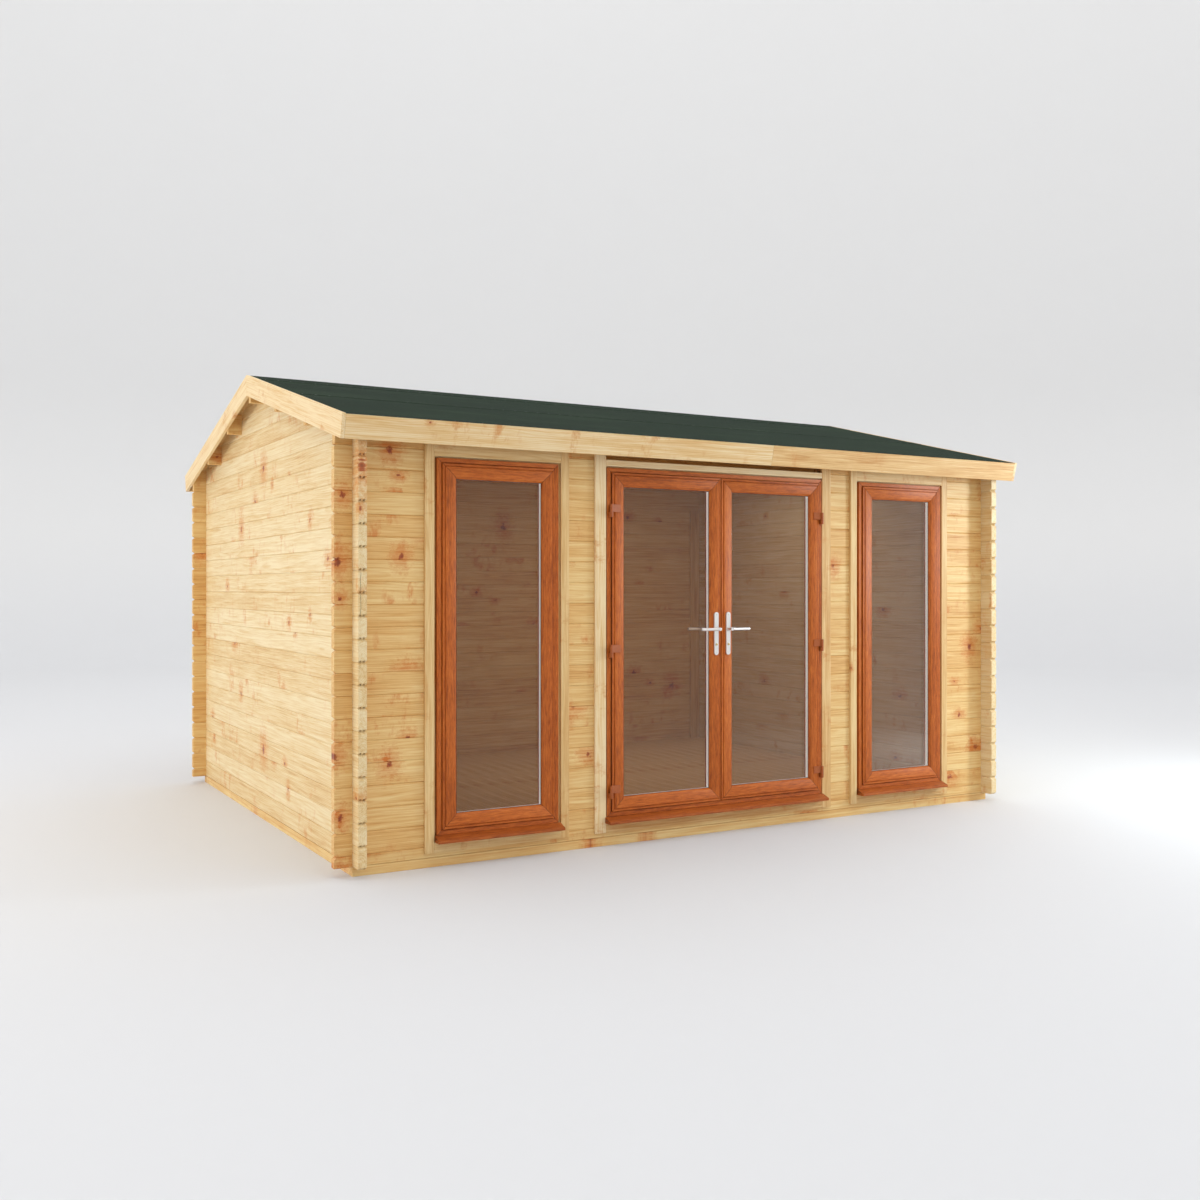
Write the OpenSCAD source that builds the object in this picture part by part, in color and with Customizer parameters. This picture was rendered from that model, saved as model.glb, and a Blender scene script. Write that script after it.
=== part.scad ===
// Garden log cabin: interlocking wall logs on a bearer frame, a low pitched
// roof under mineral felt, French doors between two tall windows.
// Origin: centre of the footprint at ground level. +X runs along the front
// from left to right, the front faces -Y, +Z is up.

/* [Cabin] */
// Width over the outer faces of the side walls
cabin_w = 4470; // [4200:10:6000]
// Depth over the outer faces of the front and back walls
cabin_d = 3430; // [2600:10:4600]
// Height of the bearers under the walls
bearer_h = 48; // [40:1:90]
// Width of a bearer
bearer_w = 70; // [50:1:120]
// Thickness of a floor joist
joist_w = 44; // [36:1:70]
// Bays between the floor joists from front to back
joist_bays = 6; // [4:2:10]
// Thickness of the floor boards
floor_t = 19; // [15:1:28]

/* [Logs] */
// Height of one course of logs
log_h = 114; // [100:1:140]
// Thickness of a log
log_t = 44; // [40:1:58]
// How far the log ends run past the wall that they cross
log_end = 93; // [70:1:95]
// Whole courses in the side walls, below the gables
side_courses = 19; // [18:1:22]
// Chamfer along the long edges, which makes the V joint between courses
edge_chamfer = 4; // [2:0.5:7]
// Height of the chamfer on a log end, at the joint
end_chamfer_h = 12; // [12:1:16]
// Length of the chamfer on a log end, along the log
end_chamfer_l = 16; // [8:1:24]
// Distance between the two tongues
tongue_gap = 19; // [14:1:22]
// Width of a tongue
tongue_w = 6; // [4:0.5:8]
// Height of a tongue
tongue_h = 5; // [3:0.5:7]
// Depth of the groove that takes a tongue
groove_depth = 10; // [8:1:11]

/* [Roof] */
// Pitch of both slopes, in degrees
pitch = 14; // [10:0.5:20]
// Underside of the roof above ground, at the outer face of the front wall
eaves_z = 2309; // [2300:1:2340]
// Overhang at the eaves, from the wall face to the fascia's outer top edge
eaves_out = 176; // [170:1:400]
// Overhang at the gables, from the wall face to the barge board's face
gable_out = 109; // [106:1:300]
// Thickness of the roof boards
roof_board_t = 19; // [15:1:28]
// Thickness of the felt
felt_t = 3; // [2:0.5:6]
// Thickness of fascia and barge boards
verge_t = 20; // [15:1:28]
// Width of fascia and barge boards
verge_w = 124; // [100:1:160]
// Share of the front length that the first fascia board covers
fascia_split = 0.56; // [0.4:0.01:0.6]
// Thickness of the purlins and of the ridge beam
purlin_w = 44; // [40:1:70]
// Depth of a purlin
purlin_h = 121; // [100:1:160]
// Depth of the ridge beam
ridge_h = 142; // [110:1:180]
// Purlins on each slope, between the ridge and the wall
purlins_a_side = 2; // [1:1:2]

/* [Windows and door] */
// Width of a window frame
window_w = 710; // [560:5:780]
// Distance of a window's centre from the middle of the front
window_x = 1434; // [1400:1:1480]
// Width of the door frame
door_w = 1546; // [1400:2:1600]
// Width of the frame that shows around a sash or a door leaf
frame_face = 28; // [22:1:40]
// Depth of a frame, front to back
frame_depth = 60; // [56:1:90]
// How far a frame stands out from the log face
frame_out = 18; // [16:1:24]
// Width of a sash member or a door stile
sash_face = 80; // [60:1:110]
// How far a window sash stands out from its frame
sash_out = 12; // [8:1:20]
// How far a sash laps over its frame
sash_lap = 17; // [14:1:24]
// Thickness of the glazing unit
glass_t = 28; // [20:1:32]
// Set-back of the glass from the face of its sash
glass_back = 15; // [10:1:20]
// How deep the glass sits in its sash
glass_bite = 15; // [10:1:20]
// Height of the cill under a frame
cill_h = 48; // [40:1:60]
// How far the cill's nose stands out from the log face
cill_out = 75; // [55:1:100]
// Height of the cill's nose
cill_nose = 15; // [10:1:24]
// How far the nose runs past the frame at each end
cill_ear = 12; // [6:1:14]
// Fall of the cill's top from the frame to the nose
cill_fall = 20; // [10:1:24]

/* [Timber around the openings] */
// Thickness of the lining boards in an opening
lining_t = 21; // [16:1:24]
// Thickness of the sill board under a cill
sill_board_t = 10; // [8:1:16]
// Space left above a lining for the logs to settle
settle_gap = 16; // [10:1:30]
// Thickness of the trim boards
trim_t = 16; // [12:1:17]
// Width of the trim beside a window
window_trim_w = 50; // [40:1:60]
// Lining that shows between a window frame and its trim
window_reveal = 16; // [10:1:20]
// Width of the trim beside the door
door_trim_w = 70; // [60:1:80]
// Gap between the door frame and its trim
door_reveal = 5; // [4:1:10]
// Height of the lower end of the trim above the bearers
trim_foot = 27; // [10:1:40]
// Height of the slot above the door's head trim
head_slot = 40; // [30:1:50]
// Height of the door's head trim
head_trim_h = 35; // [30:1:50]
// Height of the window trim above the frame
trim_rise = 73; // [50:1:80]

/* [Door furniture] */
// Clearance around a door leaf inside its frame
leaf_gap = 5; // [4:0.5:8]
// Thickness of the lip that laps over the frame
lip_t = 9; // [7:0.5:12]
// Gap between the two leaves
meeting_gap = 6; // [6:0.5:10]
// Extra set-back of a leaf's body behind its lip at the meeting stiles
meeting_step = 5; // [5:0.5:10]
// Height of the lowest hinge above the foot of the frame
low_hinge_rise = 104; // [80:1:200]
// Depth of the highest hinge below the head of the frame
high_hinge_drop = 278; // [150:1:350]
// Distance of a hinge pin from the edge of its leaf
hinge_offset = 13; // [11:1:16]
// Radius of a hinge knuckle
knuckle_r = 9; // [7:0.5:11]
// Radius of a hinge pin
pin_r = 4; // [3:0.5:5]
// Height of the knuckle on the door leaf
flag_h = 43; // [35:1:60]
// Width of the hinge flag on the leaf
flag_w = 62; // [50:1:70]
// Height of the knuckle on the frame
frame_knuckle_h = 28; // [22:1:40]
// Thickness of a hinge flag
flag_t = 5; // [4:0.5:7]
// Height of the lever's spindle above ground
lever_z = 1202; // [1050:1:1250]
// Width of a handle's backplate
plate_w = 30; // [26:1:38]
// Height of a handle's backplate
plate_h = 253; // [220:1:270]
// Thickness of a handle's backplate
plate_t = 10; // [7:1:14]
// Height of a backplate above the spindle
plate_rise = 100; // [60:1:120]
// Length of a lever from its spindle to its tip
lever_l = 130; // [110:1:150]
// Radius of a lever
lever_r = 9; // [7:0.5:11]
// Reach of a lever's neck in front of its backplate
lever_reach = 42; // [30:1:55]
// Radius of a lever's neck
neck_r = 10; // [8:0.5:12]
// Radius of the spindle
spindle_r = 5; // [4:0.5:6]
// Distance from the spindle down to the key cylinder
cylinder_drop = 90; // [72:1:92]
// Radius of the key cylinder
cylinder_r = 8.5; // [7:0.5:9]
// How far the key cylinder stands out from a backplate
cylinder_out = 3; // [1:0.5:6]

/* [Storm battens] */
// Width of the upright battens in the back corners
batten_w = 95; // [60:1:120]
// Thickness of those battens
batten_t = 20; // [16:1:28]

/* [Hidden] */
$fn = 48;

// Gap between pieces that rest on or against each other
seat = 0.3;
// Overrun of a cutting shape past the face that it cuts
over = 1;
// Clearance of floor boards and battens from the walls beside them
edge_gap = 3;
// Clearance on each side of a tongue in its groove
tongue_play = 0.7;
// Width of the lowest bay of a roof slope, as a share of the bays above it
low_bay = 0.85;

half_w = cabin_w / 2;
half_d = cabin_d / 2;
wall_y = half_d - log_t / 2;
wall_x = half_w - log_t / 2;

// Courses: the front and back walls start with half a log and the side walls
// with a whole one, so their joints fall half a course apart.
first_joint_z = bearer_h + log_h / 2;
opening_courses = side_courses - 1;
opening_top = first_joint_z + opening_courses * log_h;
gable_z = bearer_h + side_courses * log_h;

// Roof: z of the underside over y, and points measured down the front slope
roof_under_ridge = eaves_z + half_d * tan(pitch);
function roof_under(y) = roof_under_ridge - abs(y) * tan(pitch);
function slope_point(s, n) = [
    -s * cos(pitch) - n * sin(pitch),
    roof_under_ridge - s * sin(pitch) + n * cos(pitch)
];
skin_t = roof_board_t + felt_t;
slope_end = (half_d + eaves_out - skin_t * sin(pitch)) / cos(pitch);
barge_x = half_w + gable_out;
roof_half = barge_x - verge_t - seat;

// Heights inside an opening, from the sill board up
cill_z = first_joint_z + seat + sill_board_t + seat;
frame_z = cill_z + cill_h + seat;
frame_gap = 3;
// Lining that shows below a head trim, and cill that an inner trim covers
head_lap = 5;
// Set-back of a cill from the inner log face
cill_back = 2;
lining_top = opening_top - settle_gap;
frame_top = lining_top - lining_t - frame_gap;
frame_h = frame_top - frame_z;
trim_z = bearer_h + trim_foot;
trim_top = frame_top + trim_rise;
nose_foot = frame_z - cill_fall - cill_nose;
window_open_half = window_w / 2 + frame_gap + lining_t + frame_gap;
door_open_half = door_w / 2 + frame_gap + lining_t + frame_gap;
pier_edge_outer = window_x + window_open_half;
pier_edge_inner = window_x - window_open_half;

// Front planes of the door leaf, measured out from the log face
leaf_back_out = frame_out + leaf_gap;
leaf_front_out = leaf_back_out + lip_t;
frame_inner = frame_face + sash_lap - leaf_gap;
body_depth = 53;
leaf_half_w = door_w / 2 - frame_face;
hinge_x = leaf_half_w + hinge_offset;
hinge_out = leaf_front_out + knuckle_r;
hinge_y = -half_d - hinge_out;
low_hinge_z = frame_z + low_hinge_rise;
high_hinge_z = frame_top - high_hinge_drop;
hinge_heights = [low_hinge_z, (low_hinge_z + high_hinge_z) / 2, high_hinge_z];
// Gap between the two knuckles of a hinge, and around its pin
knuckle_gap = 0.5;
pin_play = 0.05;
leaf_knuckle_rise = frame_knuckle_h + knuckle_gap;
spindle_x = meeting_gap / 2 + sash_face / 2;

pine = "burlywood";
pale_pine = "wheat";
oak = "sienna";

// ---------------------------------------------------------------- logs

// Cross-section of a log with its foot on y = 0: tongues above, grooves below
module log_section(h, groove = true, tongue = true) {
    c = edge_chamfer;
    t = log_t / 2;
    foot = seat / 2;
    top = h - seat / 2;
    difference() {
        union() {
            polygon([
                [-t + c, foot], [t - c, foot], [t, foot + c], [t, top - c],
                [t - c, top], [-t + c, top], [-t, top - c], [-t, foot + c]
            ]);
            if (tongue)
                for (side = [-1, 1])
                    translate([side * tongue_gap / 2 - tongue_w / 2, top - over])
                        square([tongue_w, tongue_h + over]);
        }
        if (groove)
            for (side = [-1, 1])
                translate([side * tongue_gap / 2 - tongue_w / 2 - tongue_play, -over])
                    square([tongue_w + 2 * tongue_play, groove_depth + over]);
    }
}

// Side view of a log from a to b: notches a quarter of a course deep where
// another wall crosses, and chamfered ends where the log is free.
module log_outline(a, b, h, crossings = [], free_a = false, free_b = false,
                   foot_notch = true, head_notch = true) {
    notch = log_h / 4 + seat / 2;
    difference() {
        translate([a, 0])
            square([b - a, h + tongue_h]);
        for (x = crossings) {
            if (foot_notch)
                translate([x - log_t / 2 - seat, -over])
                    square([log_t + 2 * seat, notch + over]);
            if (head_notch)
                translate([x - log_t / 2 - seat, h - notch])
                    square([log_t + 2 * seat, notch + tongue_h + over]);
        }
        if (free_a)
            translate([a, 0])
                end_cuts(h, foot_notch);
        if (free_b)
            translate([b, 0])
                mirror([1, 0])
                    end_cuts(h, foot_notch);
    }
}

// The two corner cuts at a log's free end, which stands at x = 0
module end_cuts(h, foot) {
    rise = end_chamfer_h;
    run = end_chamfer_l;
    lean = run / rise;
    high = tongue_h + over;
    polygon([
        [-over, h - rise - over / lean],
        [run + high * lean, h + high],
        [-over, h + high]
    ]);
    if (foot)
        polygon([
            [-over, rise + over / lean],
            [run + over * lean, -over],
            [-over, -over]
        ]);
}

// A log along X from a to b, centred on y = 0 with its foot on z = 0
module log_along_x(a, b, h, crossings = [], free_a = false, free_b = false,
                   foot_notch = true) {
    intersection() {
        translate([a, 0, 0])
            rotate([90, 0, 90])
                linear_extrude(b - a)
                    log_section(h, groove = foot_notch);
        translate([0, log_t, 0])
            rotate([90, 0, 0])
                linear_extrude(2 * log_t)
                    log_outline(a, b, h, crossings, free_a, free_b, foot_notch);
    }
}

// Foot of a course in the front and back walls, counted from the first whole log
function front_course_z(i) = first_joint_z + i * log_h;

// Half log on the bearers, from corner to corner; its tongues are planed off
// where an opening's lining stands on it.
module sill_log(openings = []) {
    difference() {
        translate([0, 0, bearer_h])
            log_along_x(-half_w - log_end, half_w + log_end, log_h / 2,
                        [-wall_x, wall_x], true, true, foot_notch = false);
        for (o = openings)
            translate([o[0] - o[1], -log_t, first_joint_z - seat / 2])
                cube([2 * o[1], 2 * log_t, tongue_h + over]);
    }
}

// Top log of the front and back walls, planed to the roof slope. It runs out
// under the gable overhang and a slot above the door lets the wall settle.
module eaves_log(door_slot) {
    rise = opening_top;
    reach = roof_half - seat;
    top = roof_under(half_d) - rise - seat;
    top_in = roof_under(half_d - log_t) - rise - seat;
    notch = log_h / 4 + seat / 2;
    intersection() {
        translate([-reach, 0, 0])
            rotate([90, 0, 90])
                linear_extrude(2 * reach)
                    difference() {
                        polygon([
                            [-log_t / 2, edge_chamfer], [-log_t / 2 + edge_chamfer, seat / 2],
                            [log_t / 2 - edge_chamfer, seat / 2], [log_t / 2, edge_chamfer],
                            [log_t / 2, top_in], [-log_t / 2, top]
                        ]);
                        for (side = [-1, 1])
                            translate([side * tongue_gap / 2 - tongue_w / 2 - tongue_play, -over])
                                square([tongue_w + 2 * tongue_play, groove_depth + over]);
                    }
        translate([0, log_t, 0])
            rotate([90, 0, 0])
                linear_extrude(2 * log_t)
                    difference() {
                        translate([-reach, 0])
                            square([2 * reach, top_in + over]);
                        for (x = [-wall_x, wall_x]) {
                            translate([x - log_t / 2 - seat, -over])
                                square([log_t + 2 * seat, notch + over]);
                            translate([x - log_t / 2 - seat, log_h - notch])
                                square([log_t + 2 * seat, top_in]);
                        }
                        if (door_slot)
                            translate([-door_open_half, -over])
                                square([2 * door_open_half, head_slot + over]);
                    }
    }
}

// Stack of front-wall logs between two openings or an opening and a corner
module pier(a, b, crossings, free_a, free_b) {
    for (i = [0 : opening_courses - 1])
        translate([0, -wall_y, front_course_z(i)])
            log_along_x(a, b, log_h, crossings, free_a, free_b);
}

module front_sill_log() {
    color(pine)
        translate([0, -wall_y, 0])
            sill_log([
                [-window_x, window_open_half], [0, door_open_half], [window_x, window_open_half]
            ]);
}

module front_left_pier() {
    color(pine)
        pier(-half_w - log_end, -pier_edge_outer, [-wall_x], true, false);
}

module front_left_inner_pier() {
    color(pine)
        pier(-pier_edge_inner, -door_open_half, [], false, false);
}

module front_right_inner_pier() {
    color(pine)
        pier(door_open_half, pier_edge_inner, [], false, false);
}

module front_right_pier() {
    color(pine)
        pier(pier_edge_outer, half_w + log_end, [wall_x], false, true);
}

module front_eaves_log() {
    color(pine)
        translate([0, -wall_y, opening_top])
            eaves_log(door_slot = true);
}

module back_wall() {
    color(pine)
        mirror([0, 1, 0]) {
            translate([0, -wall_y, 0])
                sill_log();
            pier(-half_w - log_end, half_w + log_end, [-wall_x, wall_x], true, true);
            translate([0, -wall_y, opening_top])
                eaves_log(door_slot = false);
        }
}

// A side-wall log along Y, with its foot on z = 0
module side_log() {
    rotate([0, 0, 90])
        log_along_x(-half_d - log_end, half_d + log_end, log_h,
                    [-wall_y, wall_y], true, true);
}

module side_wall(side) {
    for (i = [0 : side_courses - 1])
        translate([side * wall_x, 0, bearer_h + i * log_h])
            side_log();
}

module left_wall() {
    color(pine)
        side_wall(-1);
}

module right_wall() {
    color(pine)
        side_wall(1);
}

// Gable: logs that end at the roof slope, with pockets for ridge and purlins
module gable(side) {
    count = ceil((roof_under_ridge - gable_z) / log_h);
    reach = half_d + log_end;
    translate([side * wall_x, 0, 0])
        for (i = [0 : count - 1])
            intersection() {
                translate([0, 0, gable_z + i * log_h])
                    rotate([0, 0, 90])
                        log_along_x(-reach, reach, log_h, i == 0 ? [-wall_y, wall_y] : [],
                                    i == 0, i == 0);
                translate([-log_t, 0, 0])
                    rotate([90, 0, 90])
                        linear_extrude(2 * log_t)
                            gable_outline();
            }
}

module gable_outline() {
    reach = half_d + log_end + over;
    difference() {
        polygon([
            [-reach, gable_z - over], [reach, gable_z - over],
            [reach, roof_under(reach) - seat], [0, roof_under_ridge - seat],
            [-reach, roof_under(reach) - seat]
        ]);
        beam_pocket(0, ridge_h);
        for (y = purlin_ys)
            for (way = [-1, 1])
                beam_pocket(way * y, purlin_h);
    }
}

module beam_pocket(y, depth) {
    w = purlin_w + 2 * seat;
    foot = beam_foot(y, depth) - seat;
    translate([y - w / 2, foot])
        square([w, depth + log_h]);
}

module left_gable() {
    color(pine)
        gable(-1);
}

module right_gable() {
    color(pine)
        gable(1);
}

// ---------------------------------------------------------------- base and floor

module bearer_frame() {
    color(pine) {
        for (side = [-1, 1]) {
            translate([-half_w, side < 0 ? -half_d : half_d - bearer_w, 0])
                cube([cabin_w, bearer_w, bearer_h - seat]);
            translate([side < 0 ? -half_w : half_w - bearer_w, -half_d + bearer_w + seat, 0])
                cube([bearer_w, cabin_d - 2 * bearer_w - 2 * seat, bearer_h - seat]);
        }
    }
}

module floor_joists() {
    clear_d = cabin_d - 2 * bearer_w;
    step = clear_d / joist_bays;
    reach = half_w - bearer_w - seat;
    color(pine)
        for (i = [1 : joist_bays - 1])
            translate([-reach, -clear_d / 2 + i * step - joist_w / 2, 0])
                cube([2 * reach, joist_w, bearer_h - seat]);
}

module floor_boards() {
    x = half_w - log_t - edge_gap;
    y = half_d - log_t - edge_gap;
    color(pale_pine)
        translate([-x, -y, bearer_h])
            cube([2 * x, 2 * y, floor_t]);
}

module storm_battens() {
    z = bearer_h + floor_t + seat;
    color(pine)
        for (side = [-1, 1])
            translate([side * (half_w - log_t - edge_gap - batten_w / 2) - batten_w / 2,
                       half_d - log_t - batten_t - seat, z])
                cube([batten_w, batten_t, opening_top - z]);
}

// ---------------------------------------------------------------- roof

purlin_ys = [for (i = [1 : purlins_a_side]) i * wall_y / (purlins_a_side + low_bay)];
function beam_foot(y, depth) = roof_under(abs(y) + purlin_w / 2) - seat - depth;

// Beam under the roof, its top planed to the slope
module roof_beam(y, depth) {
    half = purlin_w / 2;
    foot = beam_foot(y, depth);
    reach = roof_half - seat;
    ridge_point = y == 0 ? [[0, roof_under_ridge - seat]] : [];
    translate([-reach, 0, 0])
        rotate([90, 0, 90])
            linear_extrude(2 * reach)
                polygon(concat(
                    [[y - half, foot], [y + half, foot]],
                    [[y + half, roof_under(y + half) - seat]],
                    ridge_point,
                    [[y - half, roof_under(y - half) - seat]]
                ));
}

module purlins() {
    color(pine)
        for (y = purlin_ys)
            for (way = [-1, 1])
                roof_beam(way * y, purlin_h);
}

module ridge_beam() {
    color(pine)
        roof_beam(0, ridge_h);
}

// One layer of the front slope between two depths above the underside
module slope_layer(low, high, end, reach) {
    ridge = seat / 2;
    foot = roof_under_ridge - ridge * tan(pitch);
    translate([-reach, 0, 0])
        rotate([90, 0, 90])
            linear_extrude(2 * reach)
                polygon([
                    [-ridge, foot + low / cos(pitch)], slope_point(end, low),
                    slope_point(end, high), [-ridge, foot + high / cos(pitch)]
                ]);
}

// The two slopes: a shape on the front one and its mirror image on the back
module both_slopes() {
    for (way = [0, 1])
        mirror([0, way, 0])
            children();
}

module roof_boards() {
    color(pale_pine)
        both_slopes()
            slope_layer(0, roof_board_t, slope_end - verge_t - seat, roof_half);
}

module roof_felt() {
    color("darkslategray")
        both_slopes()
            slope_layer(roof_board_t + seat, skin_t + seat, slope_end, roof_half);
}

// Barge boards: one down each slope at both gables, mitred at the peak
module barge_boards() {
    top = skin_t + seat;
    low = top - verge_w;
    ridge = seat / 2;
    foot = roof_under_ridge - ridge * tan(pitch);
    color(pale_pine)
        for (x = [-barge_x, barge_x - verge_t])
            both_slopes()
                translate([x, 0, 0])
                    rotate([90, 0, 90])
                        linear_extrude(verge_t)
                            polygon([
                                [-ridge, foot + low / cos(pitch)], slope_point(slope_end, low),
                                slope_point(slope_end, top), [-ridge, foot + top / cos(pitch)]
                            ]);
}

// Fascia: square to the slope under the felt, in two lengths
module fascia() {
    low = skin_t + seat - verge_w;
    length = 2 * roof_half;
    split = length * fascia_split;
    lengths = [[0, split - seat / 2], [split + seat / 2, length]];
    for (run = lengths)
        translate([run[0] - roof_half, 0, 0])
            rotate([90, 0, 90])
                linear_extrude(run[1] - run[0])
                    polygon([
                        slope_point(slope_end - verge_t, low), slope_point(slope_end, low),
                        slope_point(slope_end, roof_board_t),
                        slope_point(slope_end - verge_t, roof_board_t)
                    ]);
}

module fascia_boards() {
    color(pale_pine)
        both_slopes()
            fascia();
}

// ---------------------------------------------------------------- openings

// Block between two x values and two heights; out_a and out_b are distances
// in front of the front wall's log face.
module block(xa, xb, out_a, out_b, za, zb) {
    translate([xa, -half_d - out_b, za])
        cube([xb - xa, out_b - out_a, zb - za]);
}

// Ring of one width round a rectangle, in the plane of the front wall
module ring(xa, xb, za, zb, width, out_a, out_b) {
    difference() {
        block(xa, xb, out_a, out_b, za, zb);
        block(xa + width, xb - width, out_a - over, out_b + over, za + width, zb - width);
    }
}

// Lining boards and trim boards of an opening, centred on x
module surround(x, w, reveal, board_w, head_top) {
    inner = w / 2 + frame_gap;
    outer = inner + lining_t;
    edge = w / 2 + reveal;
    foot = first_joint_z + seat;
    head = lining_top - lining_t;
    translate([x, 0, 0]) {
        // lining: two cheeks, a head and a sill board
        for (side = [-1, 1])
            block(side < 0 ? -outer : inner, side < 0 ? -inner : outer,
                  -log_t, 0, foot, lining_top);
        block(-inner + seat, inner - seat, -log_t, 0, head, lining_top);
        block(-inner + seat, inner - seat, -log_t, 0, foot, foot + sill_board_t);
        // trim: outside and inside, three boards and one under the cill
        for (face = [0, 1]) {
            near = face == 0 ? seat : -log_t - seat - trim_t;
            far = near + trim_t;
            low = face == 0 ? trim_z : bearer_h + floor_t + seat;
            for (side = [-1, 1])
                block(side < 0 ? -edge - board_w : edge,
                      side < 0 ? -edge : edge + board_w, near, far, low, trim_top);
            block(-edge + seat, edge - seat, near, far, head + head_lap, head_top);
            block(-edge + seat, edge - seat, near, far, low,
                  face == 0 ? nose_foot - seat : cill_z + head_lap);
        }
    }
}

module window_surround(x) {
    color(pine)
        surround(x, window_w, window_reveal, window_trim_w, trim_top);
}

// Welded frame that stays in the wall
module fixed_frame(x, w) {
    color(oak)
        ring(x - w / 2, x + w / 2, frame_z, frame_top, frame_inner,
             frame_out - frame_depth, frame_out);
}

// Sash: a lip in front of the frame and a body inside it, grooved for the glass
module window_sash(x) {
    a = x - window_w / 2 + frame_face;
    b = x + window_w / 2 - frame_face;
    low = frame_z + frame_face;
    high = frame_top - frame_face;
    front = frame_out + sash_out;
    color(oak)
        difference() {
            union() {
                block(a, b, frame_out + seat, front, low, high);
                block(a + sash_lap, b - sash_lap, front - body_depth, front,
                      low + sash_lap, high - sash_lap);
            }
            block(a + sash_face, b - sash_face, -frame_depth, front + over,
                  low + sash_face, high - sash_face);
            glass_pocket(a, b, low, high, front);
        }
}

module glass_pocket(a, b, low, high, front) {
    reach = sash_face - glass_bite - seat;
    block(a + reach, b - reach, front - glass_back - glass_t - seat,
          front - glass_back + seat, low + reach, high - reach);
}

module glass_unit(a, b, low, high, front) {
    reach = sash_face - glass_bite;
    color("lightsteelblue", 0.5)
        block(a + reach, b - reach, front - glass_back - glass_t,
              front - glass_back, low + reach, high - reach);
}

module window_glass(x) {
    glass_unit(x - window_w / 2 + frame_face, x + window_w / 2 - frame_face,
               frame_z + frame_face, frame_top - frame_face, frame_out + sash_out);
}

// Cill: sloped top, nose in front, and a foot between the lining boards
module cill(x, w) {
    top = frame_z - seat;
    nose_top = top - cill_fall;
    foot_half = w / 2 + frame_gap - seat;
    nose_half = w / 2 + cill_ear;
    back = log_t - cill_back;
    joint = trim_t + 2 * seat;
    color(oak)
        translate([x, 0, 0]) {
            union() {
                cill_run(foot_half, [
                    [back, cill_z], [-seat, cill_z], [-seat, nose_foot],
                    [-joint, nose_foot], [-joint, top], [back, top]
                ]);
                cill_run(nose_half, [
                    [-joint, nose_foot], [-cill_out, nose_foot],
                    [-cill_out, nose_top], [-frame_out, top], [-joint, top]
                ]);
            }
        }
}

// Part of a cill: points are [inward from the log face, height]
module cill_run(half, points) {
    translate([-half, -half_d, 0])
        rotate([90, 0, 90])
            linear_extrude(2 * half)
                polygon(points);
}

module left_window_surround() {
    window_surround(-window_x);
}

module left_window_frame() {
    fixed_frame(-window_x, window_w);
}

module left_window_sash() {
    window_sash(-window_x);
}

module left_window_glass() {
    window_glass(-window_x);
}

module left_window_cill() {
    cill(-window_x, window_w);
}

module right_window_surround() {
    window_surround(window_x);
}

module right_window_frame() {
    fixed_frame(window_x, window_w);
}

module right_window_sash() {
    window_sash(window_x);
}

module right_window_glass() {
    window_glass(window_x);
}

module right_window_cill() {
    cill(window_x, window_w);
}

// ---------------------------------------------------------------- door

module door_surround() {
    head = lining_top - lining_t + head_lap;
    color(pine)
        surround(0, door_w, door_reveal, door_trim_w, head + head_trim_h);
}

module door_frame() {
    fixed_frame(0, door_w);
}

module door_cill() {
    cill(0, door_w);
}

// Everything on the left leaf; the right leaf is its mirror image
leaf_a = -leaf_half_w;
leaf_b = -meeting_gap / 2;
leaf_low = frame_z + frame_face;
leaf_high = frame_top - frame_face;
leaf_inside = leaf_front_out - body_depth;
// Clearance of spindle and key cylinder in the leaf's bores
furniture_play = 1;

module leaf() {
    color(oak)
        difference() {
            union() {
                block(leaf_a, leaf_b, leaf_back_out, leaf_front_out, leaf_low, leaf_high);
                block(leaf_a + sash_lap, leaf_b - meeting_step, leaf_inside,
                      leaf_front_out, leaf_low + sash_lap, leaf_high - sash_lap);
            }
            block(leaf_a + sash_face, leaf_b - sash_face, -frame_depth,
                  leaf_front_out + over, leaf_low + sash_face, leaf_high - sash_face);
            glass_pocket(leaf_a, leaf_b, leaf_low, leaf_high, leaf_front_out);
            bore(lever_z, spindle_r + furniture_play);
            bore(lever_z - cylinder_drop, cylinder_r + furniture_play);
        }
}

// Hole or bar along Y through the meeting stile
module bore(z, r, near = -frame_depth, far = frame_depth) {
    translate([-spindle_x, -half_d - far, z])
        rotate([-90, 0, 0])
            cylinder(h = far - near, r = r);
}

module leaf_glass() {
    glass_unit(leaf_a, leaf_b, leaf_low, leaf_high, leaf_front_out);
}

// The leaf's half of each hinge: knuckle and flag
module leaf_hinges() {
    plate_out = leaf_front_out + seat;
    color(oak)
        for (z = hinge_heights)
            difference() {
                union() {
                    translate([-hinge_x, hinge_y, z + leaf_knuckle_rise])
                        cylinder(h = flag_h, r = knuckle_r);
                    block(-hinge_x, -hinge_x + flag_w, plate_out, plate_out + flag_t,
                          z + leaf_knuckle_rise, z + leaf_knuckle_rise + flag_h);
                }
                translate([-hinge_x, hinge_y, z])
                    cylinder(h = leaf_knuckle_rise + flag_h + over, r = pin_r + pin_play);
            }
}

// The frame's half: knuckle on an arm, and the pin
module frame_hinges() {
    color(oak)
        for (z = hinge_heights) {
            union() {
                translate([-hinge_x, hinge_y, z])
                    cylinder(h = frame_knuckle_h, r = knuckle_r);
                block(-hinge_x - knuckle_r, -hinge_x + knuckle_r, frame_out + seat, hinge_out,
                      z, z + frame_knuckle_h);
                translate([-hinge_x, hinge_y, z])
                    cylinder(h = leaf_knuckle_rise + flag_h, r = pin_r);
            }
        }
}

module door_frame_hinges() {
    frame_hinges();
    mirror([1, 0, 0])
        frame_hinges();
}

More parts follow.
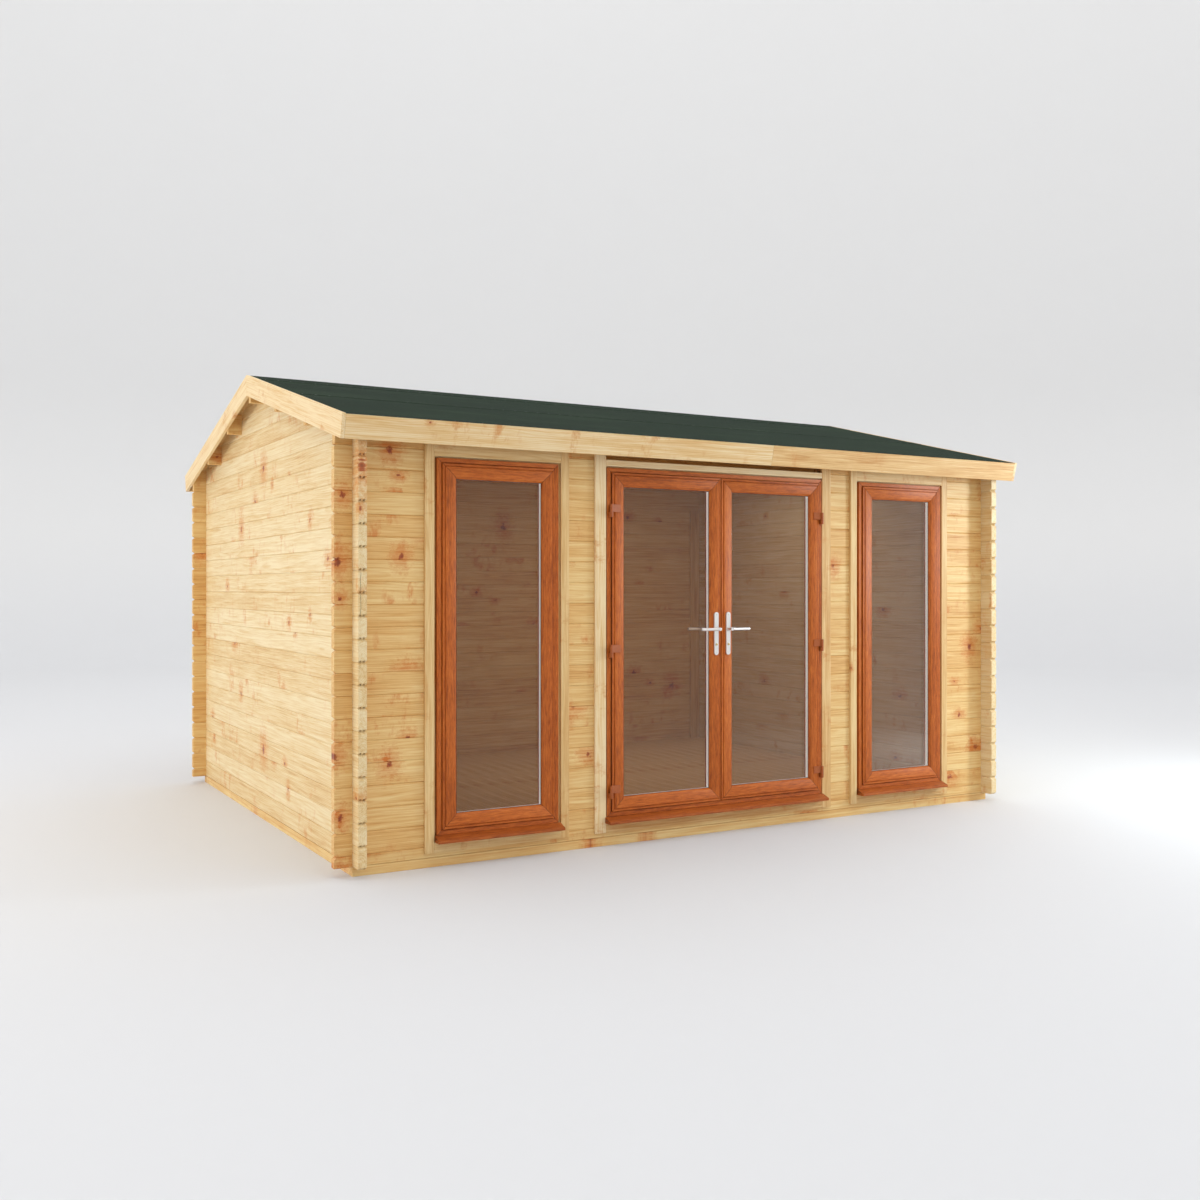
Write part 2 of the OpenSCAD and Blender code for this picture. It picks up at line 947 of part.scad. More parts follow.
// Backplates on both faces of the leaf and the key cylinder between them
module handle_plates() {
    top = lever_z + plate_rise - plate_w / 2;
    bottom = lever_z + plate_rise - plate_h + plate_w / 2;
    color("gainsboro") {
        for (near = [leaf_front_out + seat, leaf_inside - seat - plate_t])
            difference() {
                union() {
                    block(-spindle_x - plate_w / 2, -spindle_x + plate_w / 2,
                          near, near + plate_t, bottom, top);
                    bore(top, plate_w / 2, near, near + plate_t);
                    bore(bottom, plate_w / 2, near, near + plate_t);
                }
                bore(lever_z, neck_r + seat, near - over, near + plate_t + over);
                bore(lever_z - cylinder_drop, cylinder_r + seat,
                     near - over, near + plate_t + over);
            }
        bore(lever_z - cylinder_drop, cylinder_r,
             leaf_inside - plate_t - cylinder_out, leaf_front_out + plate_t + cylinder_out);
    }
}

// Outside and inside lever on one spindle
module lever() {
    outside = leaf_front_out + plate_t;
    inside = leaf_inside - plate_t;
    neck_l = lever_reach + plate_t - over;
    color("gainsboro")
        union() {
            bore(lever_z, spindle_r, inside, outside);
            bore(lever_z, neck_r, outside + lever_reach - neck_l, outside + lever_reach);
            bore(lever_z, neck_r, inside - lever_reach, inside - lever_reach + neck_l);
            for (out = [outside + lever_reach - neck_r, inside - lever_reach + neck_r])
                translate([-spindle_x, -half_d - out, lever_z])
                    rotate([0, -90, 0])
                        cylinder(h = lever_l, r = lever_r);
        }
}

module left_leaf() {
    leaf();
}

module left_leaf_glass() {
    leaf_glass();
}

module left_leaf_hinges() {
    leaf_hinges();
}

module left_handle_plates() {
    handle_plates();
}

module left_lever() {
    lever();
}

module right_leaf() {
    mirror([1, 0, 0])
        leaf();
}

module right_leaf_glass() {
    mirror([1, 0, 0])
        leaf_glass();
}

module right_leaf_hinges() {
    mirror([1, 0, 0])
        leaf_hinges();
}

module right_handle_plates() {
    mirror([1, 0, 0])
        handle_plates();
}

module right_lever() {
    mirror([1, 0, 0])
        lever();
}

bearer_frame();
floor_joists();
floor_boards();
front_sill_log();
front_left_pier();
front_left_inner_pier();
front_right_inner_pier();
front_right_pier();
front_eaves_log();
back_wall();
left_wall();
right_wall();
left_gable();
right_gable();
storm_battens();
purlins();
ridge_beam();
roof_boards();
roof_felt();
barge_boards();
fascia_boards();
left_window_surround();
left_window_frame();
left_window_sash();
left_window_glass();
left_window_cill();
right_window_surround();
right_window_frame();
right_window_sash();
right_window_glass();
right_window_cill();
door_surround();
door_frame();
door_cill();
door_frame_hinges();
left_leaf();
left_leaf_glass();
left_leaf_hinges();
left_handle_plates();
left_lever();
right_leaf();
right_leaf_glass();
right_leaf_hinges();
right_handle_plates();
right_lever();
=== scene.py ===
# %% [markdown]
# # A garden log cabin, dressed
#
# The cabin's frame comes ready made: every log, board, frame and hinge has its
# right size and place. This lesson gives it what a joiner and a fitter would
# add: timber with grain and knots, welded oak-grained window sections with
# gaskets, double glazing, felt laid in overlapping strips, boards with eased
# edges, nails and screws. Sizes are in metres, +X runs along the front, the
# front faces -Y and +Z is up.

import math
import random

import bmesh
import bpy
import numpy as np
from mathutils import Matrix, Vector


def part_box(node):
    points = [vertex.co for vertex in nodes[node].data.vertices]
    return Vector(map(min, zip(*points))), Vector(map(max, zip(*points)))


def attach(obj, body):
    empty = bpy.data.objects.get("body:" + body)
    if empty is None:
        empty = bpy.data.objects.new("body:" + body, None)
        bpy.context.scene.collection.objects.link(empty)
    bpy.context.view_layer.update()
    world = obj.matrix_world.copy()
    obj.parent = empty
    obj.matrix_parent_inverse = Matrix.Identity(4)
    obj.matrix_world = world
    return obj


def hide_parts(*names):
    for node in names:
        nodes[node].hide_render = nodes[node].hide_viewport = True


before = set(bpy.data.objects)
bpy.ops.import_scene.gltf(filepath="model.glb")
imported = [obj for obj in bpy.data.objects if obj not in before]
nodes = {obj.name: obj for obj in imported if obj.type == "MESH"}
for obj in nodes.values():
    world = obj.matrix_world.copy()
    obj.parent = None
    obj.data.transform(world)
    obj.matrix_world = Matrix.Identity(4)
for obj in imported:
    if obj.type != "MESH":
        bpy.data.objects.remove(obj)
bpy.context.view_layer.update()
scene = bpy.context.scene

# %% [markdown]
# ## Measures that many pieces share
#
# Most sizes are read from the frame's own boxes. The few that a box cannot
# give, such as the height of one course of logs or the pitch of the roof, are
# named here once. SEAT is the air left between two pieces that touch.

# %% Shared measures
MM = 0.001
COURSE = 114 * MM
LOG_T = 44 * MM
PITCH = math.radians(14)
SEAT = 0.3 * MM

bearers_low, bearers_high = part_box("bearer_frame")
FACE = bearers_low.y
SIDE_FACE = bearers_high.x
front_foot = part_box("front_sill_log")[0].z - COURSE / 2
side_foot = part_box("left_wall")[0].z
print("front log face at y", round(FACE, 4), "side log face at x", round(SIDE_FACE, 4))

# %% [markdown]
# ## The camera
#
# A building is drawn with upright edges that stay upright, so the camera is
# held level at eye height and the lens is shifted a little instead of being
# tilted. It stands off the left front corner and looks along the front.

# %% Camera
camera_data = bpy.data.cameras.new("camera")
camera = bpy.data.objects.new("camera", camera_data)
scene.collection.objects.link(camera)
camera.location = (-4.163, -7.544, 1.440)
camera.rotation_euler = (math.radians(90), 0, math.radians(-29.92))
camera_data.sensor_width = 36
camera_data.lens = 36.14
camera_data.shift_y = -0.00956
camera_data.clip_end = 200
scene.camera = camera
print("camera at", tuple(camera.location))

# %% [markdown]
# ## The studio
#
# A studio cove has no corner between floor and wall, so no line shows behind
# the subject. Here it is a wide round bowl: a flat floor that curves up into a
# wall all round, so that the cabin can be looked at from every side.
# Its section is turned about the upright axis. `skin` puts faces over a stack
# of rings, and will do so again for boards, felt, bars and nails.

# %% Cove
FLOOR_RADIUS = 15.0
CURVE_RADIUS = 6.0
WALL_TOP = 16.0


def cove_section(steps=14):
    """Points of the bowl's section, from the first ring on the floor to the rim."""
    points = [(FLOOR_RADIUS / 2, 0.0), (FLOOR_RADIUS, 0.0)]
    for i in range(1, steps + 1):
        turn = math.pi / 2 * i / steps
        out = FLOOR_RADIUS + CURVE_RADIUS * math.sin(turn)
        points.append((out, CURVE_RADIUS * (1 - math.cos(turn))))
    points.append((FLOOR_RADIUS + CURVE_RADIUS, WALL_TOP))
    return points


def circle(sides):
    """Points of a circle with radius 1, as many as there are sides."""
    turns = [2 * math.pi * k / sides for k in range(sides)]
    return [(math.cos(t), math.sin(t)) for t in turns]


def skin(shape, rings, closed=True):
    """Faces over a stack of rings of corners, and over its two ends if closed."""
    if closed:
        shape.faces.new(reversed(rings[0]))
        shape.faces.new(rings[-1])
    for low, high in zip(rings, rings[1:]):
        for k in range(len(low)):
            after = (k + 1) % len(low)
            shape.faces.new((low[k], low[after], high[after], high[k]))


def make_cove(sides=96):
    shape = bmesh.new()
    rings = [
        [shape.verts.new((radius * x, radius * y, height)) for x, y in circle(sides)]
        for radius, height in cove_section()
    ]
    skin(shape, rings[::-1], closed=False)
    middle = shape.verts.new((0, 0, 0))
    for k in range(sides):
        shape.faces.new((middle, rings[0][k], rings[0][(k + 1) % sides]))
    mesh = bpy.data.meshes.new("cove")
    shape.to_mesh(mesh)
    shape.free()
    mesh.shade_smooth()
    cove = bpy.data.objects.new("cove", mesh)
    scene.collection.objects.link(cove)
    return cove


cove = make_cove()
print("cove:", len(cove.data.polygons), "faces")

# %% [markdown]
# ## Light
#
# Even light from all round fills the cove. A large soft lamp on the left makes
# the side wall the brightest face. A smaller, cooler one at the right front
# grazes the logs, so that each joint and each log end throws a small shadow. A
# weak lamp under the roof lets the room show through the glass.

# %% Lamps
world = bpy.data.worlds.new("studio")
scene.world = world
world.use_nodes = True
background = world.node_tree.nodes["Background"].inputs
background["Color"].default_value = (1.0, 1.0, 1.0, 1.0)
background["Strength"].default_value = 1.36


def lamp(name, place, target, width, height, watts, colour=(1, 1, 1)):
    """A soft box at a place, turned to face a target."""
    data = bpy.data.lights.new(name, "AREA")
    data.shape = "RECTANGLE"
    data.size = width
    data.size_y = height
    data.energy = watts
    data.color = colour
    box = bpy.data.objects.new(name, data)
    scene.collection.objects.link(box)
    box.location = place
    box.rotation_euler = (Vector(target) - Vector(place)).to_track_quat("-Z", "Y").to_euler()
    box.visible_camera = False


COOL = (0.86, 0.96, 1.0)
lamp("left_soft_box", (-9.5, 0.3, 1.6), (-2.0, 0, 0.9), 4.0, 2.2, 172)
lamp("right_soft_box", (5.0, -3.9, 2.2), (1.9, -1.7, 1.2), 0.6, 0.9, 102, COOL)
lamp("room_lamp", (0.6, 0.0, 2.3), (0.6, 0.1, 0), 2.6, 1.2, 9)
scene.view_settings.view_transform = "Standard"
scene.view_settings.look = "None"

# %% [markdown]
# ## Writing nodes as expressions
#
# A finish is worked out from numbers that change over the surface. `Value`
# holds one such number: adding or multiplying two of them adds a Math node, so
# a pattern reads like a line of arithmetic.


# %% Value
def operator(operation, reflected=False):
    """A method of Value that adds one Math node."""

    def method(self, other):
        terms = (other, self) if reflected else (self, other)
        return self.sheet.maths(operation, *terms)

    return method


class Value:
    """A socket that ordinary arithmetic works on."""

    def __init__(self, sheet, socket):
        self.sheet = sheet
        self.socket = socket

    __add__ = __radd__ = operator("ADD")
    __mul__ = __rmul__ = operator("MULTIPLY")
    __sub__, __rsub__ = operator("SUBTRACT"), operator("SUBTRACT", True)
    __truediv__, __rtruediv__ = operator("DIVIDE"), operator("DIVIDE", True)
    __pow__, __rpow__ = operator("POWER"), operator("POWER", True)


# %% [markdown]
# `Sheet` is the page of nodes on which the arithmetic is written, for a finish
# or for a Geometry Nodes tree. `add` makes any node; the other methods name the
# ones that are used again and again.


# %% Sheet
class Sheet:
    """Nodes are added here, each by one call, and wired by what is passed in."""

    def __init__(self, tree):
        self.tree = tree

    def add(self, kind, settings=None, inputs=None, out=None):
        """One node: its settings first, then its sockets; gives its output."""
        node = self.tree.nodes.new(kind)
        for key, value in (settings or {}).items():
            if key == "stops":
                self.set_stops(node.color_ramp, value)
            else:
                setattr(node, key, value)
        for key, value in (inputs or {}).items():
            socket = self.pick(node.inputs, key)
            if isinstance(value, Value):
                self.tree.links.new(value.socket, socket)
            else:
                socket.default_value = value
        return Value(self, self.pick(node.outputs, out)) if len(node.outputs) else None

    @staticmethod
    def pick(sockets, key):
        """The socket in use with that name or number, or the first one in use."""
        if isinstance(key, int):
            return sockets[key]
        return next(s for s in sockets if s.enabled and key in (None, s.name))

    @staticmethod
    def set_stops(ramp, stops):
        while len(ramp.elements) < len(stops):
            ramp.elements.new(1.0)
        for element, (place, colour) in zip(ramp.elements, stops):
            element.position = place
            element.color = colour

    def maths(self, operation, *terms):
        return self.add("ShaderNodeMath", {"operation": operation}, dict(enumerate(terms)))

    def also(self, value, out):
        """Another output of the node that a value came from."""
        return Value(self, self.pick(value.socket.node.outputs, out))

    def clamp(self, value):
        return self.add("ShaderNodeClamp", None, {"Value": value})

    def rise(self, value, low, high):
        """From 0 at low to 1 at high in a smooth S; low may be the higher one."""
        inputs = {"Value": value, "From Min": min(low, high), "From Max": max(low, high)}
        if low > high:
            inputs.update({"To Min": 1.0, "To Max": 0.0})
        return self.add("ShaderNodeMapRange", {"interpolation_type": "SMOOTHSTEP"}, inputs)

    def mix(self, share, a, b):
        """Colour a, or colour b where share is 1."""
        return self.add("ShaderNodeMix", {"data_type": "RGBA"}, {"Factor": share, "A": a, "B": b})

    def ramp(self, value, *stops):
        """A colour from stops, each of which is a place and a colour."""
        return self.add("ShaderNodeValToRGB", {"stops": stops}, {"Fac": value})

    def vector(self, x=0.0, y=0.0, z=0.0):
        return self.add("ShaderNodeCombineXYZ", None, {"X": x, "Y": y, "Z": z})

    def split(self, vector):
        x = self.add("ShaderNodeSeparateXYZ", None, {"Vector": vector})
        return x, self.also(x, "Y"), self.also(x, "Z")

    def noise(self, vector, detail=2.0, roughness=0.5, scale=1.0):
        inputs = {"Vector": vector, "Scale": scale, "Detail": detail, "Roughness": roughness}
        return self.add("ShaderNodeTexNoise", None, inputs)

    def attribute(self, name, out="Vector"):
        return self.add("ShaderNodeAttribute", {"attribute_name": name}, out=out)

    def place(self):
        """Where a point is in the cabin, in metres."""
        return self.add("ShaderNodeTexCoord", out="Object")


# %% [markdown]
# Every finish starts with an empty sheet and ends with the same two nodes, a
# shader and the output. Rubber, cast covers and bare metals need no more than a
# fine mottle between two close colours, so one function makes them all.


# %% Finish helpers
def srgb(code):
    """The linear numbers that a shader takes, from the usual six-digit code."""
    parts = [int(code[i:i + 2], 16) / 255 for i in (0, 2, 4)]
    linear = [c / 12.92 if c <= 0.04045 else ((c + 0.055) / 1.055) ** 2.4 for c in parts]
    return (*linear, 1.0)


def new_finish(name):
    """An empty material and the sheet on which its nodes are written."""
    material = bpy.data.materials.new(name)
    material.use_nodes = True
    material.node_tree.nodes.clear()
    return material, Sheet(material.node_tree)


def shade(sheet, colour, roughness, height=None, depth=MM, strength=1.0, **fixed):
    """The closing nodes of a solid finish; height is a relief that is depth high."""
    inputs = {"Base Color": colour, "Roughness": roughness}
    inputs.update({key.replace("_", " "): value for key, value in fixed.items()})
    if height is not None:
        bump = {"Height": height, "Distance": depth, "Strength": strength}
        inputs["Normal"] = sheet.add("ShaderNodeBump", None, bump)
    surface = sheet.add("ShaderNodeBsdfPrincipled", None, inputs)
    sheet.add("ShaderNodeOutputMaterial", None, {"Surface": surface})


def mottled(name, scale, dark, light, roughness, spread, detail=3.0, grain=0.6, **fixed):
    """A finish between two colours; roughness grows by spread towards the light one."""
    material, sheet = new_finish(name)
    mottle = sheet.noise(sheet.place(), detail, grain, scale)
    shade(sheet, sheet.mix(mottle, dark, light), roughness + mottle * spread, **fixed)
    return material


print("shader helpers ready")

# %% [markdown]
# The cove is painted a plain matt off-white that is a little darker and cooler
# on the floor. Its roughness varies a little, as that of rolled paint does.

# %% Cove finish
cove_white, sheet = new_finish("studio_white")
place = sheet.place()
up_the_wall = sheet.rise(sheet.split(place)[2], 0.0, 3.0)
white = sheet.mix(up_the_wall, (0.688, 0.693, 0.708, 1), (0.76, 0.76, 0.76, 1))
shade(sheet, white, 0.85 + sheet.noise(place, 1.0, 0.6, 14.0) * 0.1)
cove.data.materials.append(cove_white)
print("finish:", cove_white.name)

# %% [markdown]
# ## Pine
#
# A log shows four things. Growth rings lie round the pith, so they are even
# circles on an end and long flames on a face: one distance from the pith, cut
# by whatever surface there is, gives both. Knots are where branches were: dark
# in the middle, reddish round it, with the grain parting about them. Fine
# streaks run with the fibres. And no two logs are the same tone. The pattern is
# written in a timber's own directions, along, across and through, so the same
# recipe serves logs, boards and battens.


# %% The pine recipe
def pine(
    sheet, grain, chance, tones,
    cell=0.26, knot_size=0.02, kept=0.45, warmth=0.0, spread=0.3, placed=None,
):
    """Colour, roughness and relief of pine. grain is the place in the timber,
    chance holds three random numbers for each timber, cell is the spacing of
    the knots, kept the share of them that show, and spread the difference of
    tone between timbers. placed is the distance, in radii, from knots that have
    a place of their own."""
    luck_a, luck_b, luck_c = sheet.split(chance)
    along, across, through = sheet.split(grain)
    along = along + luck_a * 37.0
    # knots: one in each cell of a net laid over the timber's face
    ragged = sheet.noise(sheet.vector(along * 40.0, across * 40.0, luck_b * 20.0), 3.0, 0.7) - 0.5
    net_place = sheet.vector(along * 0.8 + ragged * 0.02, across + ragged * 0.012 + luck_b * 11.0)
    net = sheet.add(
        "ShaderNodeTexVoronoi", {"voronoi_dimensions": "2D"}, {"Vector": net_place, "Scale": 1 / cell}
    )
    draw_a, draw_b, _ = sheet.split(sheet.also(net, "Color"))
    shown = sheet.rise(draw_a, 1 - kept, 1.02 - kept)
    near = net * cell / ((0.35 + draw_b * 0.65) * knot_size) + (1 - shown) * 50.0
    if placed is not None:
        near = sheet.maths("MINIMUM", near, placed)
    knot = sheet.rise(near + ragged * 3.5, 1.1, 0.5)
    heart = sheet.rise(near + ragged * 3.5, 0.5, 0.0)
    halo = sheet.rise(near + ragged * 8.0, 6.0, 0.8)
    # growth rings round a pith that wanders slowly along the timber
    slow = sheet.noise(sheet.vector(along * 1.3, across * 6.0, through * 6.0 + luck_b * 9.0)) - 0.5
    out_across = across - (luck_b - 0.5) * 0.08 + slow * 0.04
    out_through = through - (luck_c - 0.5) * 0.07
    from_pith = (out_across * out_across + out_through * out_through) ** 0.5
    ring = sheet.maths("FRACT", from_pith * 110.0 + slow * 4.0 + halo * 1.5)
    late = sheet.rise(ring, 0.3, 0.9) * sheet.rise(ring, 1.0, 0.94)
    # streaks along the fibres, and slow changes of tone
    fibre = sheet.noise(sheet.vector(along * 3.0, across * 75.0, through * 75.0), 4.0, 0.7) - 0.5
    band = sheet.noise(sheet.vector(along * 1.8, across * 24.0, through * 24.0), 3.0, 0.6) - 0.5
    cloud = sheet.noise(sheet.vector(along * 1.5, across * 6.0, luck_c * 30.0)) - 0.5
    warm = sheet.clamp(
        0.12 + warmth + luck_c * spread + cloud * 0.4 + (band * 0.7 + fibre * 1.6 + late * 0.2)
    )
    pale, mid, deep, resin, knot_red, knot_dark = [srgb(code) for code in tones]
    wood = sheet.ramp(warm, (0.0, pale), (0.5, mid), (1.0, deep))
    # branches leave the trunk in whorls: orange smudges across the timber, here and there
    station = sheet.rise(sheet.noise(sheet.vector(along * 2.4, across * 1.5, luck_a * 30.0)), 0.5, 0.62)
    smudge = sheet.noise(sheet.vector(along * 15.0, across * 8.0, luck_b * 30.0 + through * 8.0), 4.0, 0.72)
    smudge = sheet.rise(smudge, 0.5, 0.72) * station * 0.9
    resin_share = sheet.clamp(smudge * (0.8 + fibre) + halo * (0.62 + fibre * 2.0))
    wood = sheet.mix(resin_share, wood, resin)
    wood = sheet.mix(knot * 0.9, wood, knot_red)
    wood = sheet.mix(heart * 0.5, wood, knot_dark)
    return wood, 0.55 + fibre * 0.12 - knot * 0.12, fibre * 0.8


# pale, mid and deep wood, resin, and the rim and the heart of a knot
LOG_TONES = ("EBCB8C", "DCAC66", "C0823E", "CC7428", "A04416", "5A2208")
# the side walls get a paler copy of the log colours: painted light for the brightly lit left wall, which the
# right wall shares
PAINTED_LIGHT_SIDE_TONES = ("EDD9AE", "E1C28A", "C9985A", "D28536", "A84C1C", "602810")
print("pine recipe ready")

# %% [markdown]
# The log walls keep their own geometry. Which log a point belongs to follows
# from its height alone, because every course is equally high, so the number of
# the course picks the three random numbers. The front and back walls stand half
# a course higher or lower than the sides, which is how the corners interlock.
# One log end has dried too fast and split; the split is not cut, only drawn on
# the side logs as a dark line of painted shade.


# %% Log finishes
CRACK_PAINTED_SHADE = srgb("3A1A0C")


def crack_shade_share(sheet, along, x, z, wall_middle):
    """Share of painted shade that draws a drying crack in the near left corner's log ends, 0 elsewhere."""
    crack_through, low, high = 10 * MM, 1.28, 1.54
    wander = (sheet.noise(sheet.vector(z * 18.0), 2.0) - 0.5) * 0.010
    beside = sheet.maths("ABSOLUTE", wall_middle - crack_through - wander)
    on_end = sheet.rise(along, -1.800, -1.806) * sheet.rise(x, 0.1, -0.1)
    ends = sheet.rise(z, low, low + 0.04) * sheet.rise(z, high, high - 0.04)
    return sheet.rise(beside, 1.6 * MM, 0.5 * MM) * on_end * ends * 0.85


def log_finish(name, runs_along_x, foot, shift, tones, knots, kept):
    """Pine for stacked logs, the first of which stands on the height foot.
    knots lists the striking ones by place along the wall, height, radius, the
    sign of the side of the cabin they are on and, for one that shows in the end
    of a log, its place through the log. kept is the share of the others."""
    material, sheet = new_finish(name)
    x, y, z = sheet.split(sheet.place())
    height = (z - foot) / COURSE
    course = sheet.maths("FLOOR", height)
    across = (height - course - 0.5) * COURSE
    along, through = (x, y) if runs_along_x else (y, x)
    side = sheet.maths("SIGN", through)
    face = -FACE if runs_along_x else SIDE_FACE
    wall_middle = sheet.maths("ABSOLUTE", through) - (face - LOG_T / 2)
    grain = sheet.vector(along, across, wall_middle)
    seed = sheet.vector(course * 0.731 + shift, side * 3.7 + shift)
    chance = sheet.add("ShaderNodeTexWhiteNoise", None, {"Vector": seed}, out="Color")
    placed = 99.0
    for knot_along, knot_height, radius, knot_side, *inside in knots:
        aside, above = (along - knot_along) / radius, (z - knot_height) / (1.25 * radius)
        square = aside * aside + above * above
        for knot_through in inside:
            deep = (wall_middle - knot_through) / (0.8 * radius)
            square = square + deep * deep
        distance = square ** 0.5 + (1 - side * knot_side) * 50.0
        placed = sheet.maths("MINIMUM", distance, placed)
    colour, roughness, relief = pine(sheet, grain, chance, tones, kept=kept, placed=placed)
    if not runs_along_x:
        # the crack is painted shade, not a cut in the log
        colour = sheet.mix(crack_shade_share(sheet, along, x, z, wall_middle), colour, CRACK_PAINTED_SHADE)
    shade(sheet, colour, roughness, relief, 1.2 * MM, 0.6)
    return material


def dress(names, material):
    """Puts a finish on frame nodes whose own shape stays."""
    for name in names:
        nodes[name].data.materials.clear()
        nodes[name].data.materials.append(material)


FRONT_LOGS = [
    "front_sill_log", "front_left_pier", "front_left_inner_pier", "front_right_inner_pier",
    "front_right_pier", "front_eaves_log", "back_wall",
]
SIDE_LOGS = ["left_wall", "right_wall", "left_gable", "right_gable"]
FRONT_KNOTS = (
    (-2.286, 1.905, 0.014, -1), (-2.308, 1.572, 0.019, -1), (-2.298, 1.388, 0.010, -1),
    (-2.330, 0.608, 0.018, -1), (-2.298, 0.301, 0.014, -1), (-2.038, 2.143, 0.017, -1),
    (-1.975, 1.603, 0.015, -1), (-2.043, 0.550, 0.016, -1), (-1.019, 0.741, 0.014, -1),
    (2.078, 1.047, 0.019, -1), (1.839, 0.295, 0.008, -1), (0.885, 1.575, 0.014, -1),
    (1.890, 0.560, 0.026, 1), (0.200, 1.960, 0.024, 1), (-1.420, 1.300, 0.020, 1),
)
SIDE_KNOTS = (
    (0.016, 2.186, 0.022, -1), (0.586, 1.836, 0.020, -1), (-0.987, 1.294, 0.009, -1),
    (0.016, 0.437, 0.025, -1), (0.595, 0.745, 0.014, -1), (-0.545, 0.265, 0.012, -1),
    (-0.190, 2.071, 0.009, -1), (-0.987, 1.818, 0.011, -1), (-1.806, 2.046, 0.030, -1, 0.004),
    (-1.806, 1.836, 0.010, -1, 0.012),
)
front_pine = log_finish("pine_front_logs", True, front_foot, 1.3, LOG_TONES, FRONT_KNOTS, 0.2)
# the side walls' paler colours are painted light
side_pine = log_finish("pine_side_logs", False, side_foot, 5.9, PAINTED_LIGHT_SIDE_TONES, SIDE_KNOTS, 0.14)
dress(FRONT_LOGS, front_pine)
dress(SIDE_LOGS, side_pine)
print("log walls dressed:", len(FRONT_LOGS) + len(SIDE_LOGS), "nodes")

# %% [markdown]
# ## From a bare shape to a piece
#
# Every piece that is made here goes through the same steps: the shape becomes a
# mesh, each loose part of it gets the directions of its own timber, it gets its
# finish, and it rides on a body of the frame. The directions are found from the
# spread of the corners: a board is longest along its grain, so the axis of
# greatest spread is the grain, whatever way the board lies.


# %% Piece helpers
def islands(mesh):
    """The loose parts of a mesh, as lists of vertex numbers."""
    parent = list(range(len(mesh.vertices)))

    def root(i):
        while parent[i] != i:
            parent[i] = parent[parent[i]]
            i = parent[i]
        return i

    for edge in mesh.edges:
        a, b = (root(v) for v in edge.vertices)
        parent[max(a, b)] = min(a, b)
    groups = {}
    for i in range(len(parent)):
        groups.setdefault(root(i), []).append(i)
    return list(groups.values())


def mark_grain(mesh, seed, tones=None):
    """Gives each loose part its grain directions and three random numbers, the
    last of which is its tone; tones sets that for the parts it names."""
    luck = random.Random(seed)
    corners = np.array([v.co for v in mesh.vertices])
    grain = np.zeros_like(corners)
    chance = np.zeros_like(corners)
    for number, group in enumerate(islands(mesh)):
        part = corners[group]
        middle = (part.min(0) + part.max(0)) / 2
        spread = np.linalg.eigh(np.cov((part - middle).T))[1][:, ::-1]
        spread = spread * np.sign(spread[np.abs(spread).argmax(0), range(3)])
        grain[group] = (part - middle) @ spread
        drawn = [luck.random() for _ in range(3)]
        drawn[2] = (tones or {}).get(number, drawn[2])
        chance[group] = drawn
    for name, data in (("grain", grain), ("chance", chance)):
        mesh.attributes.new(name, "FLOAT_VECTOR", "POINT").data.foreach_set("vector", data.ravel())


def as_object(name, shape, smooth=None):
    """A bmesh as an object; smooth is the angle below which edges are round."""
    mesh = bpy.data.meshes.new(name)
    shape.to_mesh(mesh)
    shape.free()
    if smooth is not None:
        mesh.shade_smooth()
        mesh.set_sharp_from_angle(angle=math.radians(smooth))
    piece = bpy.data.objects.new(name, mesh)
    scene.collection.objects.link(piece)
    return piece


def finish_piece(piece, material, body="root", replaces=()):
    """The last steps: grain, finish, body, and hiding the frame nodes that the piece stands for."""
    if "grain" not in piece.data.attributes:
        mark_grain(piece.data, piece.name)
    piece.data.materials.clear()
    piece.data.materials.append(material)
    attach(piece, body)
    if replaces:
        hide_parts(*replaces)
    print("piece", piece.name, "-", len(piece.data.polygons), "faces")


print("piece helpers ready")

# %% [markdown]
# Machined timber and moulded plastic never have knife-sharp edges, and a cast
# hinge has none either. `ease` bevels each edge that is sharp enough, and `eased_copy` does so on a copy of a
# frame node, whose loose triangles are first merged into whole faces.


# %% Eased edges
ARRIS = math.radians(30)


def ease(shape, width, steps=2):
    """Rounds the sharp edges of a shape by a width."""
    sharp = [e for e in shape.edges if len(e.link_faces) == 2 and e.calc_face_angle(0) > ARRIS]
    bmesh.ops.bevel(shape, geom=sharp, offset=width, segments=steps, profile=0.5, affect="EDGES")


def eased_copy(name, node, width, material, body="root", tones=None):
    """A frame node with its arrises taken off, as a plane leaves them."""
    shape = bmesh.new()
    shape.from_mesh(nodes[node].data)
    bmesh.ops.remove_doubles(shape, verts=shape.verts, dist=0.02 * MM)
    bmesh.ops.dissolve_limit(shape, angle_limit=math.radians(1), verts=shape.verts, edges=shape.edges)
    ease(shape, width)
    piece = as_object(name, shape, 25)
    mark_grain(piece.data, name, tones)
    finish_piece(piece, material, body, [node])


def add_box(shape, low, high):
    """A block between two corners, added to a bmesh."""
    size = [h - l for l, h in zip(low, high)]
    middle = [(h + l) / 2 for l, h in zip(low, high)]
    made = bmesh.ops.create_cube(shape, size=1)
    bmesh.ops.scale(shape, vec=size, verts=made["verts"])
    bmesh.ops.translate(shape, vec=middle, verts=made["verts"])


print("edges sharper than", round(math.degrees(ARRIS)), "degrees are eased")

# %% [markdown]
# ## Planed boards
#
# Fascia, barge boards, trim and battens are planed pine: paler than the logs,
# with fewer and smaller knots. Each is a copy of its frame node with the arrises
# taken off. The narrow bright line that this leaves along every edge is much of
# what makes timber look real.


# %% Planed boards
def board_finish(name, tones, relief_depth=0.8 * MM, **options):
    """Pine for pieces that carry their own grain directions."""
    material, sheet = new_finish(name)
    colour, roughness, relief = pine(
        sheet, sheet.attribute("grain"), sheet.attribute("chance"), tones, **options
    )
    shade(sheet, colour, roughness, relief, relief_depth, 0.6)
    return material


